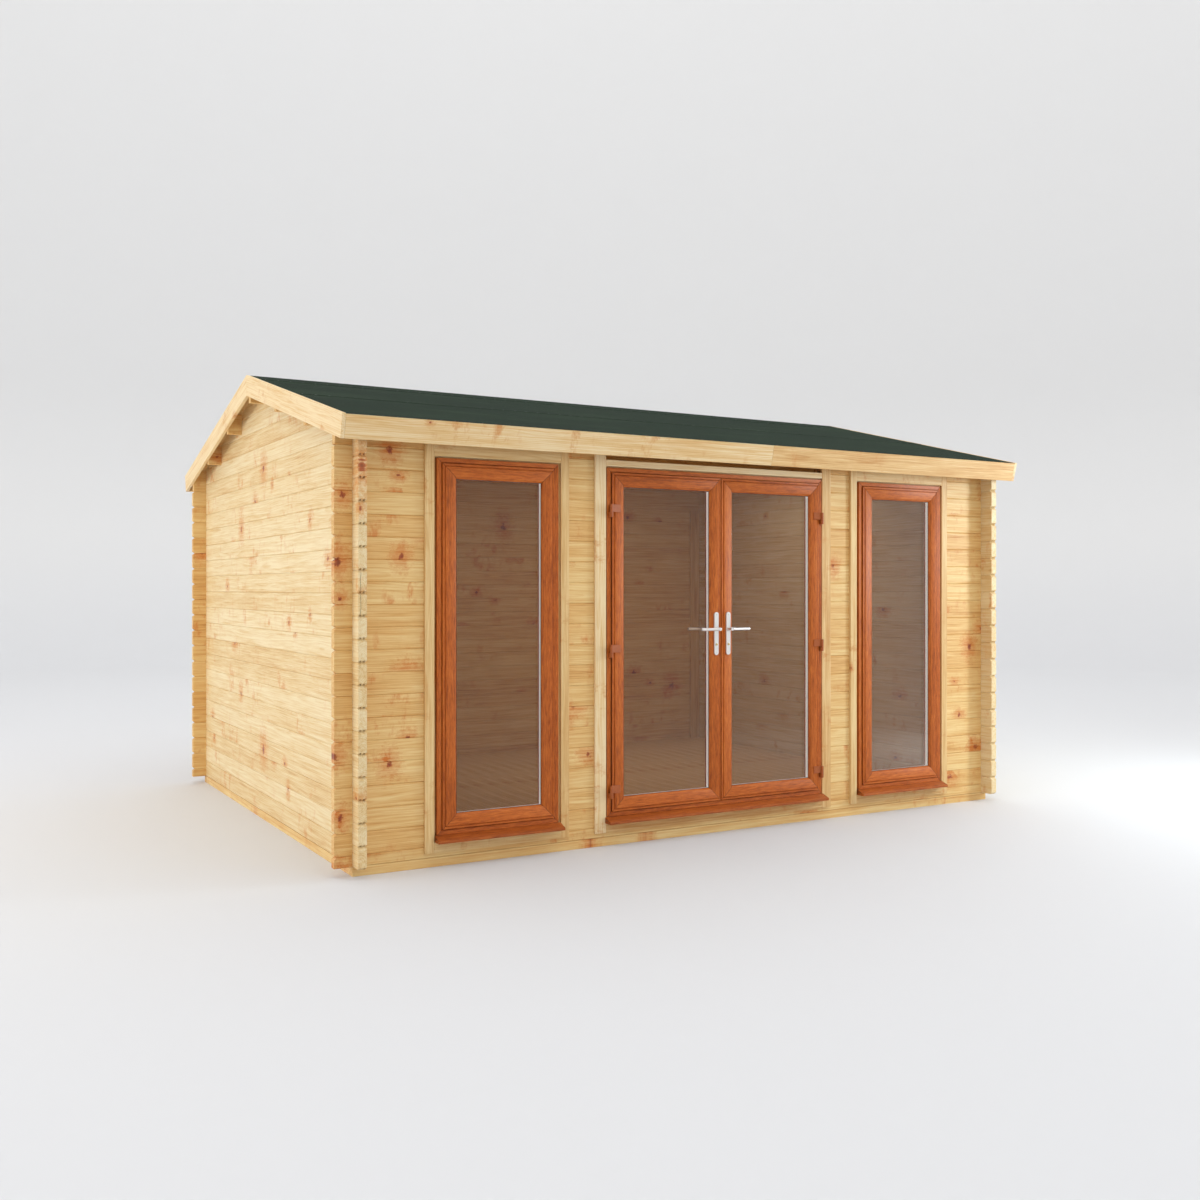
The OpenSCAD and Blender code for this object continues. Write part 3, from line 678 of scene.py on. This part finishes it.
BOARD_TONES = ("EFD6A8", "E0B87A", "C8904C", "CC8238", "A84C1C", "602810")
TRIM_TONES = ("E8C88E", "D6A968", "BE8446", "C67A30", "A04416", "5A2208")
planed = board_finish(
    "planed_pine", BOARD_TONES, cell=0.42, knot_size=0.016, kept=0.42, warmth=-0.1, spread=0.8
)
trim_pine = board_finish("trim_pine", TRIM_TONES, cell=0.4, knot_size=0.014, kept=0.35)
beam_pine = board_finish("beam_pine", LOG_TONES, cell=0.3, knot_size=0.016)
sawn = board_finish("sawn_pine", ("E6CC96", "D2AF74", "B98F55", "A9733F", "8A4A26", "4A2616"), 1.6 * MM)

# each row: piece, node, width of the eased edge, finish, slot, tones of single boards
TIMBER = [
    ("barge_boards_planed", "barge_boards", 1.5, planed, "planed_pine", {0: 0.05, 1: 0.1}),
    ("fascia_boards_planed", "fascia_boards", 1.5, planed, "planed_pine", {0: 0.66, 1: 0.25}),
    ("left_window_trim", "left_window_surround", 1.2, trim_pine, "planed_pine", {8: 0.0, 9: 0.4, 4: 0.0}),
    ("right_window_trim", "right_window_surround", 1.2, trim_pine, "planed_pine", {8: 0.0, 9: 0.4, 4: 0.0}),
    ("door_trim", "door_surround", 1.2, planed, "planed_pine", {8: 0.0, 9: 0.65, 4: 0.0}),
    ("storm_battens_planed", "storm_battens", 2.0, trim_pine, "planed_pine", None),
    ("purlins_planed", "purlins", 2.0, beam_pine, "pine_logs", None),
    ("ridge_beam_planed", "ridge_beam", 2.0, beam_pine, "pine_logs", None),
    ("bearers_planed", "bearer_frame", 0.8, beam_pine, "treated_pine", {0: 0.0, 1: 0.3, 3: 0.0}),
    ("joists_sawn", "floor_joists", 1.5, sawn, "treated_pine", None),
]
for name, node, width, timber, slot, tones in TIMBER:
    eased_copy(name, node, width * MM, timber, tones=tones)

# %% [markdown]
# ## Rows of equal things
#
# Floor boards, roof boards and nails are one thing repeated in a row or in
# several rows. A small Geometry Nodes tree does that: it sets out points by
# two steps, puts a copy on each and gives each copy its own random numbers, so
# that no two boards show the same grain.


# %% The row tree
ROW_INPUTS = (
    ("Piece", "NodeSocketGeometry"), ("Count", "NodeSocketInt"), ("Step", "NodeSocketVector"),
    ("Rows", "NodeSocketInt"), ("Row Step", "NodeSocketVector"), ("Seed", "NodeSocketInt"),
    ("Finish", "NodeSocketMaterial"),
)


def make_row_tree():
    tree = bpy.data.node_groups.new("equal_rows", "GeometryNodeTree")
    for label, kind in ROW_INPUTS:
        tree.interface.new_socket(name=label, in_out="INPUT", socket_type=kind)
    tree.interface.new_socket(name="Geometry", in_out="OUTPUT", socket_type="NodeSocketGeometry")
    sheet = Sheet(tree)
    piece = sheet.add("NodeGroupInput", out="Piece")
    count, step, rows, row_step, seed, finish = [sheet.also(piece, label) for label, _ in ROW_INPUTS[1:]]
    number = sheet.add("GeometryNodeInputIndex")
    row = sheet.maths("FLOOR", (number + 0.5) / count)
    column = number - row * count

    def vector_maths(operation, inputs):
        return sheet.add("ShaderNodeVectorMath", {"operation": operation}, inputs)

    in_row = vector_maths("SCALE", {"Vector": step, "Scale": column})
    to_row = vector_maths("SCALE", {"Vector": row_step, "Scale": row})
    place = vector_maths("ADD", {0: in_row, 1: to_row})
    points = sheet.add("GeometryNodePoints", None, {"Count": count * rows, "Position": place})
    copies = sheet.add("GeometryNodeInstanceOnPoints", None, {"Points": points, "Instance": piece})
    luck = sheet.add("FunctionNodeRandomValue", {"data_type": "FLOAT_VECTOR"}, {"Seed": seed})
    named = sheet.add(
        "GeometryNodeStoreNamedAttribute", {"data_type": "FLOAT_VECTOR", "domain": "INSTANCE"},
        {"Geometry": copies, "Name": "chance", "Value": luck},
    )
    whole = sheet.add("GeometryNodeRealizeInstances", None, {"Geometry": named})
    done = sheet.add("GeometryNodeSetMaterial", None, {"Geometry": whole, "Material": finish})
    sheet.add("NodeGroupOutput", None, {"Geometry": done})
    return tree


row_tree = make_row_tree()


def row_of(piece, count, step, material, rows=1, row_step=(0, 0, 0), seed=1):
    """Repeats a piece in rows and leaves the result as a plain mesh."""
    modifier = piece.modifiers.new("rows", "NODES")
    modifier.node_group = row_tree
    values = {
        "Count": count, "Step": step, "Rows": rows, "Row Step": row_step, "Seed": seed,
        "Finish": material,
    }
    for item in row_tree.interface.items_tree:
        if item.in_out == "INPUT" and item.name in values:
            modifier[item.identifier] = values[item.name]
    ready = piece.evaluated_get(bpy.context.evaluated_depsgraph_get())
    piece.data = bpy.data.meshes.new_from_object(ready)
    piece.modifiers.remove(modifier)
    piece.data.name = piece.name


print("row tree:", len(row_tree.nodes), "nodes")

# %% [markdown]
# ## The floor
#
# The floor is laid with narrow boards from front to back. One board with eased
# edges is shaped and repeated across the room, with a fine open joint between
# each two.

# %% Floor boards
FLOOR_BOARDS = 39
JOINT = 1.5 * MM
floor_pine = board_finish("floor_pine", TRIM_TONES, cell=0.35, knot_size=0.014)
floor_low, floor_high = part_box("floor_boards")
floor_step = (floor_high.x - floor_low.x) / FLOOR_BOARDS

shape = bmesh.new()
add_box(shape, floor_low, (floor_low.x + floor_step - JOINT, floor_high.y, floor_high.z))
ease(shape, 1.5 * MM, 1)
board = as_object("floor_board_row", shape)
mark_grain(board.data, "floor")
row_of(board, FLOOR_BOARDS, (floor_step, 0, 0), floor_pine, seed=3)
finish_piece(board, floor_pine, replaces=["floor_boards"])

# %% [markdown]
# Each board is nailed to each joist with two nails. All that shows of a nail,
# a screw or a key plug is a low round button, so one function shapes them all:
# a few rings, each of which is smaller or higher than the one before.


# %% Floor nails
JOISTS = 5
JOIST_T = 44 * MM


def add_button(shape, place, normal, radius, levels, sides):
    """A round head on a place; each level is a share of the radius and a height."""
    turn = Vector((0, 0, 1)).rotation_difference(Vector(normal)).to_matrix().to_4x4()
    matrix = Matrix.Translation(place) @ turn
    rings = []
    for share, height in levels:
        corners = [Vector((share * radius * x, share * radius * y, height)) for x, y in circle(sides)]
        rings.append([shape.verts.new(matrix @ corner) for corner in corners])
    skin(shape, rings)


def add_nail(shape, place, normal, radius, dome):
    add_button(shape, place, normal, radius, ((1.0, -dome), (1.0, 0.35 * dome), (0.6, 0.85 * dome)), 10)


steel = mottled(
    "bright_steel", 300.0, (0.55, 0.54, 0.50, 1), (0.72, 0.70, 0.64, 1), 0.32, 0.2, Metallic=1.0
)
joist_low, joist_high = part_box("floor_joists")
joist_step = (joist_high.y - joist_low.y - JOIST_T) / (JOISTS - 1)
shape = bmesh.new()
first = (floor_low.x + 0.25 * floor_step, joist_low.y + JOIST_T / 2, floor_high.z)
add_nail(shape, first, (0, 0, 1), 3 * MM, 0.8 * MM)
nails = as_object("floor_nails", shape, 50)
row_of(nails, 2 * FLOOR_BOARDS, (floor_step / 2, 0, 0), steel, JOISTS, (0, joist_step, 0))
finish_piece(nails, steel)

# %% [markdown]
# ## The roof boards
#
# Roof boards run from the ridge down to the back of the fascia. Their lower
# edges are chamfered, so a row of fine V joints shows from inside and under the
# gables. Places on a slope are given by how far down it they are and how far up
# from the boards' underside.


# %% Roof boards
ROOF_BOARDS = 41
ROOF_BOARD_T = 19 * MM
V_CUT = 3 * MM
SLOPE_END = 1943.4 * MM
BOARDS_END = SLOPE_END - 20.5 * MM
RIDGE_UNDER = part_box("ridge_beam")[1].z + SEAT
roof_low, roof_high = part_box("roof_boards")
felt_low, felt_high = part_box("roof_felt")


def slope_point(x, down, up):
    """A point of the front slope."""
    return Vector((
        x, -down * math.cos(PITCH) - up * math.sin(PITCH),
        RIDGE_UNDER - down * math.sin(PITCH) + up * math.cos(PITCH),
    ))


def both_slopes(shape):
    """Adds the back slope to a bmesh that holds the front one."""
    copy = bmesh.ops.duplicate(shape, geom=shape.verts[:] + shape.edges[:] + shape.faces[:])
    verts = [g for g in copy["geom"] if isinstance(g, bmesh.types.BMVert)]
    bmesh.ops.scale(shape, vec=(1, -1, 1), verts=verts)
    bmesh.ops.recalc_face_normals(shape, faces=shape.faces)


def make_roof_boards():
    step = (roof_high.x - roof_low.x) / ROOF_BOARDS
    near, far = roof_low.x + JOINT / 2, roof_low.x + step - JOINT / 2
    section = (
        (near, V_CUT), (near + V_CUT, 0), (far - V_CUT, 0), (far, V_CUT),
        (far, ROOF_BOARD_T), (near, ROOF_BOARD_T),
    )
    downs = (ROOF_BOARD_T * math.tan(PITCH) + SEAT, BOARDS_END)
    shape = bmesh.new()
    skin(shape, [[shape.verts.new(slope_point(x, down, up)) for x, up in section] for down in downs])
    both_slopes(shape)
    boards = as_object("roof_board_rows", shape)
    mark_grain(boards.data, "roof")
    row_of(boards, ROOF_BOARDS, (step, 0, 0), floor_pine, seed=8)
    finish_piece(boards, floor_pine, replaces=["roof_boards"])


make_roof_boards()

# %% [markdown]
# ## The felt
#
# Mineral felt is covered with crushed green stone: a fine speckle of light and
# dark grains. Long streaks along the roll are a little paler, and broad patches
# a little darker, because the stone never lies quite evenly.


# %% Felt finish
felt_green, sheet = new_finish("green_mineral_felt")
place = sheet.place()
x, y, z = sheet.split(place)
grit = sheet.noise(place, 2.0, 0.7, 900.0)
speck = sheet.noise(place, 2.0, 0.6, 260.0)
worn = sheet.noise(sheet.vector(x * 1.2, y * 7.0, z * 7.0), 3.0, 0.55)
patchy = sheet.noise(place, 3.0, 0.6, 9.0)
green = sheet.mix(sheet.rise(grit, 0.3, 0.7), srgb("0E1A12"), srgb("253627"))
green = sheet.mix(sheet.rise(speck, 0.58, 0.75) * 0.6, green, srgb("48584A"))
green = sheet.mix(sheet.rise(worn, 0.45, 0.75) * 0.35, green, srgb("32432F"))
green = sheet.mix(sheet.rise(patchy, 0.55, 0.8) * 0.3, green, srgb("17241A"))
shade(sheet, green, 0.92, grit * 0.6 + speck * 0.6, 1.2 * MM, 0.8, Specular_IOR_Level=0.1)
print("finish:", felt_green.name)

# %% [markdown]
# Felt comes in rolls a metre wide. The lowest strip goes on first, the next
# laps over it, and a narrow strip covers the ridge. A strip is a thin sheet
# that steps up where it climbs over the one below, so the laps cast a shadow.

# %% Felt strips
FELT_T = 1.4 * MM
FELT_PLAY = 0.05 * MM
FELT_FOOT = ROOF_BOARD_T + SEAT + FELT_PLAY
LAP_FOOT = FELT_FOOT + FELT_T + FELT_PLAY
RIDGE_STRIP = 250 * MM
LAP_TOP = 950 * MM
LAP_END = LAP_TOP + 100 * MM
CLIMB = 12 * MM
NEAR_RIDGE = (FELT_FOOT + FELT_T) * math.tan(PITCH)


def felt_strip(name, route, columns=24):
    """A sheet over the whole length, on points (down, up) of the slope's section."""
    section = list(route) + [(down, up + FELT_T) for down, up in reversed(route)]
    xs = [felt_low.x + (felt_high.x - felt_low.x) * i / columns for i in range(columns + 1)]
    shape = bmesh.new()
    skin(shape, [[shape.verts.new(slope_point(x, down, up)) for down, up in section] for x in xs])
    both_slopes(shape)
    return as_object(name, shape)


lower = felt_strip("felt_lower_strips", ((LAP_TOP, FELT_FOOT), (SLOPE_END - MM, FELT_FOOT)))
upper = felt_strip("felt_upper_strips", (
    (NEAR_RIDGE, FELT_FOOT), (LAP_TOP - CLIMB, FELT_FOOT), (LAP_TOP, LAP_FOOT), (LAP_END, LAP_FOOT),
))
ridge = felt_strip("felt_ridge_strip", ((NEAR_RIDGE, LAP_FOOT), (RIDGE_STRIP, LAP_FOOT)))
finish_piece(lower, felt_green, replaces=["roof_felt"])
finish_piece(upper, felt_green)
finish_piece(ridge, felt_green)

# %% [markdown]
# Felt is held by galvanised clout nails with wide flat heads, close together
# along each lap and along the eaves.


# %% Clout nails
CLOUTS = 61
CLOUT_MARGIN = 40 * MM
zinc = mottled("dull_zinc", 400.0, (0.10, 0.11, 0.10, 1), (0.20, 0.21, 0.20, 1), 0.6, 0.2)


def clout_rows(name, down, up):
    normal = slope_point(0, 0, 1) - slope_point(0, 0, 0)
    step = (felt_high.x - felt_low.x - 2 * CLOUT_MARGIN) / (CLOUTS - 1)
    shape = bmesh.new()
    first = slope_point(felt_low.x + CLOUT_MARGIN, down, up)
    add_nail(shape, first, normal, 4.5 * MM, 0.6 * MM)
    both_slopes(shape)
    nails = as_object(name, shape, 50)
    row_of(nails, CLOUTS, (step, 0, 0), zinc)
    finish_piece(nails, zinc)


clout_rows("clouts_on_laps", LAP_END - 20 * MM, LAP_FOOT + FELT_T)
clout_rows("clouts_on_ridge_strip", RIDGE_STRIP - 20 * MM, LAP_FOOT + FELT_T)
clout_rows("clouts_at_eaves", SLOPE_END - 12 * MM, FELT_FOOT + FELT_T)

# %% [markdown]
# ## Oak-grained foil
#
# The window and door sections are plastic with a wood-print foil bonded on. The
# print is oak: long straight grain, short dark pores, and a soft change of tone
# from bar to bar. The foil is embossed and slightly glossy, and dark at a weld.


# %% Foil finish
def foil_finish(name, deep, mid, light):
    material, sheet = new_finish(name)
    along, across, through = sheet.split(sheet.attribute("grain"))
    luck_a, luck_b, luck_c = sheet.split(sheet.attribute("chance"))
    along = along + luck_a * 9.0
    figure = sheet.noise(sheet.vector(along * 1.6, across * 22.0, through * 22.0 + luck_b * 5.0), 3.0, 0.6)
    line = sheet.noise(sheet.vector(along * 14.0, across * 130.0, through * 130.0), 4.0, 0.75)
    pore = sheet.noise(sheet.vector(along * 60.0, across * 700.0, through * 700.0), 1.0)
    tone = sheet.clamp(0.5 + (figure - 0.5) * 0.5 + (line - 0.5) * 1.3 + (luck_c - 0.5) * 0.12)
    colour = sheet.ramp(tone, (0.25, srgb(deep)), (0.5, srgb(mid)), (0.8, srgb(light)))
    pores = sheet.rise(pore, 0.6, 0.72)
    colour = sheet.mix(pores * 0.35, colour, srgb("6E2F14"))
    welded = sheet.rise(sheet.attribute("weld", "Fac"), 0.05, 0.7)
    colour = sheet.mix(welded * 0.8, colour, srgb("4A1E0A"))
    relief = line * 0.5 - pores * 0.6
    shade(sheet, colour, 0.42 + line * 0.12, relief, 0.35 * MM, 0.5, Specular_IOR_Level=0.3)
    return material


foil = foil_finish("oak_grain_foil", "92440F", "BB5E1C", "D2762E")
cill_foil = foil_finish("cill_foil", "7C3A10", "A04E18", "B86426")
rubber = mottled("black_rubber", 120.0, srgb("101010"), srgb("232220"), 0.6, 0.2)
print("finishes:", foil.name, cill_foil.name, rubber.name)

# %% [markdown]
# ## Welded rings
#
# A frame or a sash is one plastic section, cut at 45 degrees and welded at the
# corners. The section is given as points: how far in from the outer edge, and
# how far out from the log face. Each bar is swept between its two mitres. Just
# before a mitre the section shrinks a little, which leaves the fine groove that
# is scraped along a weld.


# %% The welded ring
WELD_DEPTH = 0.9 * MM
WELD_HALF_WIDTH = 2.6 * MM


def shrunk(section, amount):
    """A closed outline moved inwards by an amount all round."""
    count = len(section)
    points = [Vector(p) for p in section]
    area = sum(points[i - 1].x * points[i].y - points[i].x * points[i - 1].y for i in range(count))
    turn = math.copysign(amount, area)
    moved = []
    for i, here in enumerate(points):
        into, on = here - points[i - 1], points[(i + 1) % count] - here
        inward = Vector((-into.y, into.x)).normalized() + Vector((-on.y, on.x)).normalized()
        moved.append(here + inward.normalized() * turn)
    return moved


def ring_corner(rect, k, inset):
    """Corner k of a rectangle that lies this far inside: lower left first, then round."""
    x0, x1, z0, z1 = rect
    x = x0 + inset if k in (0, 3) else x1 - inset
    z = z0 + inset if k in (0, 1) else z1 - inset
    return Vector((x, 0, z))


def welded_ring(name, rect, sections):
    """Four bars round a rectangle (x0, x1, z0, z1): bottom, right, top, left."""
    shape = bmesh.new()
    welds = []
    for k in range(4):
        section = [(inset * MM, out * MM) for inset, out in sections[k]]
        small = shrunk(section, WELD_DEPTH)
        run = (ring_corner(rect, (k + 1) % 4, 0) - ring_corner(rect, k, 0)).normalized()
        stations = (
            (k, small, 0.0), (k, section, WELD_HALF_WIDTH),
            ((k + 1) % 4, section, -WELD_HALF_WIDTH), ((k + 1) % 4, small, 0.0),
        )
        loops = []
        for corner, outline, shift in stations:
            ends = [ring_corner(rect, corner, inset) + run * shift for inset, _ in outline]
            for end, (_, out) in zip(ends, outline):
                end.y = FACE - out
            loops.append([shape.verts.new(end) for end in ends])
        skin(shape, loops)
        welds += [float(station in (0, 3)) for station in range(4) for _ in section]
    bmesh.ops.recalc_face_normals(shape, faces=shape.faces)
    ring = as_object(name, shape, 28)
    ring.data.attributes.new("weld", "FLOAT", "POINT").data.foreach_set("value", welds)
    return ring


def arc(cx, cy, radius, start, end, steps=4):
    """Points of a round stretch of a section, between two angles in degrees."""
    turns = [math.radians(start + (end - start) * i / steps) for i in range(steps + 1)]
    return [(cx + radius * math.cos(t), cy + radius * math.sin(t)) for t in turns]


def rect_of(node):
    low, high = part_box(node)
    return low.x, high.x, low.z, high.z


def same(section):
    return [section] * 4


print("welds are", WELD_DEPTH / MM, "mm deep")

# %% [markdown]
# The outer frame has a flat face with rounded edges and a step at the back of
# its inner edge, where the seal stands. The sash has a thin lip that laps over
# the frame, a quarter-round rise to its main face, and a bead that slopes down
# to the glass.

# %% Frame and sash sections, in millimetres
FRAME_OUT, FRAME_BACK, FRAME_W = 18, -41.5, 40.0
WINDOW_FACE, LEAF_FACE = 30, 32
SASH_W, SASH_DEPTH = 80.0, 53.0
GROOVE, UNIT_FRONT, UNIT_BACK = 64.8, 14.7, 43.3


def frame_section():
    return (
        [(0.0, FRAME_BACK), (0.0, FRAME_OUT - 2.0)] + arc(2.0, FRAME_OUT - 2.0, 2.0, 180, 90, 3)
        + [
            (23.0, FRAME_OUT), (26.0, FRAME_OUT - 4.0), (38.0, FRAME_OUT - 5.0),
            (FRAME_W, FRAME_OUT - 8.0), (FRAME_W, FRAME_BACK),
        ]
    )


def sash_section(face, lap=17.0):
    """Section of a sash whose main face stands this far out from the logs."""
    lip_back = FRAME_OUT + SEAT / MM if face == WINDOW_FACE else face - 9.0
    back = face - SASH_DEPTH
    lip = [(0.0, lip_back), (0.0, face - 6.0)] + arc(2.0, face - 6.0, 2.0, 180, 90, 3)
    step = [(11.0, face - 4.0), (12.5, face - 6.5), (14.0, face - 6.5)]
    bead = [(66.0, face), (68.0, face - 0.6), (77.0, face - 9.0), (79.2, face - 12.5)]
    groove = [
        (SASH_W, face - UNIT_FRONT), (GROOVE, face - UNIT_FRONT),
        (GROOVE, face - UNIT_BACK), (SASH_W, face - UNIT_BACK),
    ]
    body = [(SASH_W, back + 3.0), (SASH_W - 3.0, back), (lap, back), (lap, lip_back)]
    return lip + step + arc(20.0, face - 6.0, 6.0, 180, 90, 4) + bead + groove + body


print("frame section:", len(frame_section()), "points, sash:", len(sash_section(WINDOW_FACE)))

# %% [markdown]
# Three frames hold the two windows and the doors. The windows do not open, so
# their sashes ride with the cabin. The cill under each frame is a moulding of
# its own, in a darker foil.

# %% Frames, cills and window sashes
for opening in ("left_window", "right_window", "door"):
    ring = welded_ring(opening + "_frame_welded", rect_of(opening + "_frame"), same(frame_section()))
    finish_piece(ring, foil, replaces=[opening + "_frame"])
    eased_copy(opening + "_cill_moulded", opening + "_cill", 1.5 * MM, cill_foil)

for side in ("left", "right"):
    node = side + "_window_sash"
    ring = welded_ring(node + "_welded", rect_of(node), same(sash_section(WINDOW_FACE)))
    finish_piece(ring, foil, replaces=[node])

# %% [markdown]
# ## Door leaves
#
# A leaf has the same section as a sash, a little further out. At the meeting
# stiles the body comes closer to the edge, so that stile, which is the left
# leaf's right bar and the right leaf's left one, has a section of its own.

# %% Door leaves
for side, meeting_bar in (("left", 1), ("right", 3)):
    node = side + "_leaf"
    sections = same(sash_section(LEAF_FACE))
    sections[meeting_bar] = sash_section(LEAF_FACE, lap=5.0)
    ring = welded_ring(node + "_welded", rect_of(node), sections)
    finish_piece(ring, foil, side + "_door", [node])

# %% [markdown]
# ## Double glazing
#
# Each unit is two thin panes with a hollow aluminium bar between them, all
# round the edge. Seen at a slant, the bar's inner face shows as a bright line
# beside the dark rubber. A pane lets light through with a slight tint and
# mirrors the studio more and more towards grazing angles. The bar has a row of
# fine holes, drawn as dots of painted shade, and a faint painted glow stands in
# for the light that is caught between the panes.

# %% Glass and spacer finishes
PANE_SHADE = (0.99, 0.96, 0.93, 1.0)
glass, sheet = new_finish("tinted_glass")
clear = sheet.add("ShaderNodeBsdfTransparent", None, {"Color": PANE_SHADE})
mirror = sheet.add("ShaderNodeBsdfGlossy", None, {"Color": (1, 1, 1, 1), "Roughness": 0.02})
fresnel = sheet.add("ShaderNodeFresnel", None, {"IOR": 1.27})
pane = sheet.add("ShaderNodeMixShader", None, {0: fresnel, 1: clear, 2: mirror})
sheet.add("ShaderNodeOutputMaterial", None, {"Surface": pane})

spacer_metal, sheet = new_finish("spacer_aluminium")
along, across, through = sheet.split(sheet.attribute("grain"))
# the fine holes are not cut: they are dots of painted shade
hole = sheet.maths("FRACT", along * 250.0) - 0.5
dot = (hole * hole * 16.0 + (through * 1100.0) ** 2.0 * 0.3) ** 0.5
brushed = sheet.noise(sheet.vector(along * 8.0, across * 900.0, through * 900.0), 2.0)
grey = sheet.mix(brushed, (0.84, 0.84, 0.83, 1), (0.93, 0.93, 0.92, 1))
grey = sheet.mix(sheet.rise(dot, 0.9, 0.5) * 0.6, grey, (0.2, 0.2, 0.2, 1))
# the faint emission is a painted glow for light caught between the panes; the bar is no lamp
shade(sheet, grey, 0.4 + brushed * 0.1, Emission_Color=(1, 1, 1, 1), Emission_Strength=0.25)

print("finishes:", glass.name, spacer_metal.name)

# %% [markdown]
# The panes and the bar fill the box of the frame's glazing unit. A seal lies
# against the outer pane of each unit, and another runs round each frame, where
# the sash presses on it. Both are thin strips with a rounded top, made as rings
# like the bars themselves.


# %% Glazing units and seals
PANE_T = 4 * MM


def seal(name, rect, inset, width, low, high, body):
    """A rubber strip round a rectangle, with a rounded top."""
    middle = (low + high) / 2
    top = arc(inset + width / 2, middle, width / 2, 180, 0, 6)
    section = [(inset, low)] + top + [(inset + width, low)]
    finish_piece(welded_ring(name, rect, same(section)), rubber, body)


def glaze(name, body):
    """Two panes and the bar between them, inside the box of a glazing unit."""
    node = name + "_glass"
    low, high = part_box(node)
    shape = bmesh.new()
    add_box(shape, low, (high.x, low.y + PANE_T, high.z))
    add_box(shape, (low.x, high.y - PANE_T, low.z), high)
    ease(shape, 0.4 * MM, 1)
    panes = as_object(name + "_panes", shape)
    finish_piece(panes, glass, body, [node])
    near, far = (FACE - low.y - PANE_T) / MM, (FACE - high.y + PANE_T) / MM
    section = [
        (5.0, far), (5.0, near), (14.0, near), (14.6, near - 0.6), (14.6, far + 0.6), (14.0, far)
    ]
    bar = welded_ring(name + "_spacer", rect_of(node), same(section))
    finish_piece(bar, spacer_metal, body)


for name, sash, body, face in (
    ("left_window", "left_window_sash", "root", WINDOW_FACE),
    ("right_window", "right_window_sash", "root", WINDOW_FACE),
    ("left_leaf", "left_leaf", "left_door", LEAF_FACE),
    ("right_leaf", "right_leaf", "right_door", LEAF_FACE),
):
    glaze(name, body)
    seal(name + "_glass_seal", rect_of(sash), 79.0, 2.6, face - 15.0, face - 12.6, body)
for opening in ("left_window", "right_window", "door"):
    rect = rect_of(opening + "_frame")
    seal(opening + "_frame_seal", rect, 30.5, 4.0, FRAME_OUT - 4.6, FRAME_OUT + 0.1, "root")

# %% [markdown]
# ## Hinges and handles
#
# The flag hinges are cast and covered in the colour of the foil; the lever sets
# are satin metal, brushed along the levers. Both keep the frame's shapes, which
# are exact where parts turn in each other, with every rim rounded.

# %% Hinges and lever sets
caps = mottled("hinge_covers", 90.0, srgb("8F4414"), srgb("BC6226"), 0.4, 0.15, 4.0, 0.7)
satin, sheet = new_finish("satin_chrome")
x, y, z = sheet.split(sheet.place())
brushed = sheet.noise(sheet.vector(x * 60.0, y * 1500.0, z * 1500.0), 2.0)
silver = sheet.mix(brushed, (0.78, 0.75, 0.72, 1), (0.90, 0.88, 0.86, 1))
shade(sheet, silver, 0.24 + brushed * 0.14, Metallic=0.85)

eased_copy("frame_hinges_rounded", "door_frame_hinges", 0.7 * MM, caps)
for side in ("left", "right"):
    body = side + "_door"
    eased_copy(side + "_hinges_rounded", side + "_leaf_hinges", 0.7 * MM, caps, body)
    eased_copy(side + "_plates_rounded", side + "_handle_plates", 1.2 * MM, satin, body)
    eased_copy(side + "_lever_rounded", side + "_lever", 1.5 * MM, satin, side + "_handle")

# %% [markdown]
# A brass plug with a keyway sits in each lock cylinder, on both faces of the
# door, and a small domed screw holds each end of a backplate. They are low
# buttons, like the nails, that look along the door's thickness. The keyway is
# not cut: a thin black sheet on the plug stands for it, as painted shade.

# %% Key plugs and screws
PLUG_R, SCREW_R = 6.5 * MM, 3.2 * MM
PLATE_T = 3 * MM
KEY_DROP = 90 * MM
SCREW_INSET = 16 * MM
brass = mottled("brass", 500.0, (0.52, 0.34, 0.12, 1), (0.72, 0.52, 0.22, 1), 0.3, 0.15, Metallic=1.0)


def lock_details(side):
    low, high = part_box(side + "_handle_plates")
    lever_low, lever_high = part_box(side + "_lever")
    middle = (low.x + high.x) / 2
    key_height = (lever_low.z + lever_high.z) / 2 - KEY_DROP
    levels = ((1.0, 0.0), (1.0, 0.48 * MM), (0.9, 0.8 * MM))
    plugs, keyways, screws = bmesh.new(), bmesh.new(), bmesh.new()
    for face, toward in ((low.y, -1), (high.y, 1)):
        normal = (0, toward, 0)
        add_button(plugs, (middle, face, key_height), normal, PLUG_R, levels, 24)
        # the keyway is a thin black sheet of painted shade on the plug, not a slot
        near, far = sorted(face + toward * out * MM for out in (0.75, 0.9))
        add_box(
            keyways, (middle - 0.9 * MM, near, key_height - 4 * MM),
            (middle + 0.9 * MM, far, key_height + 4 * MM),
        )
        for height in (low.z + SCREW_INSET, high.z - SCREW_INSET):
            add_button(screws, (middle, face - toward * PLATE_T, height), normal, SCREW_R, levels, 12)
    for name, shape, material in (
        ("key_plugs", plugs, brass), ("keyways", keyways, rubber), ("plate_screws", screws, steel)
    ):
        bmesh.ops.recalc_face_normals(shape, faces=shape.faces)
        finish_piece(as_object(side + "_" + name, shape, 30), material, side + "_door")


for side in ("left", "right"):
    lock_details(side)
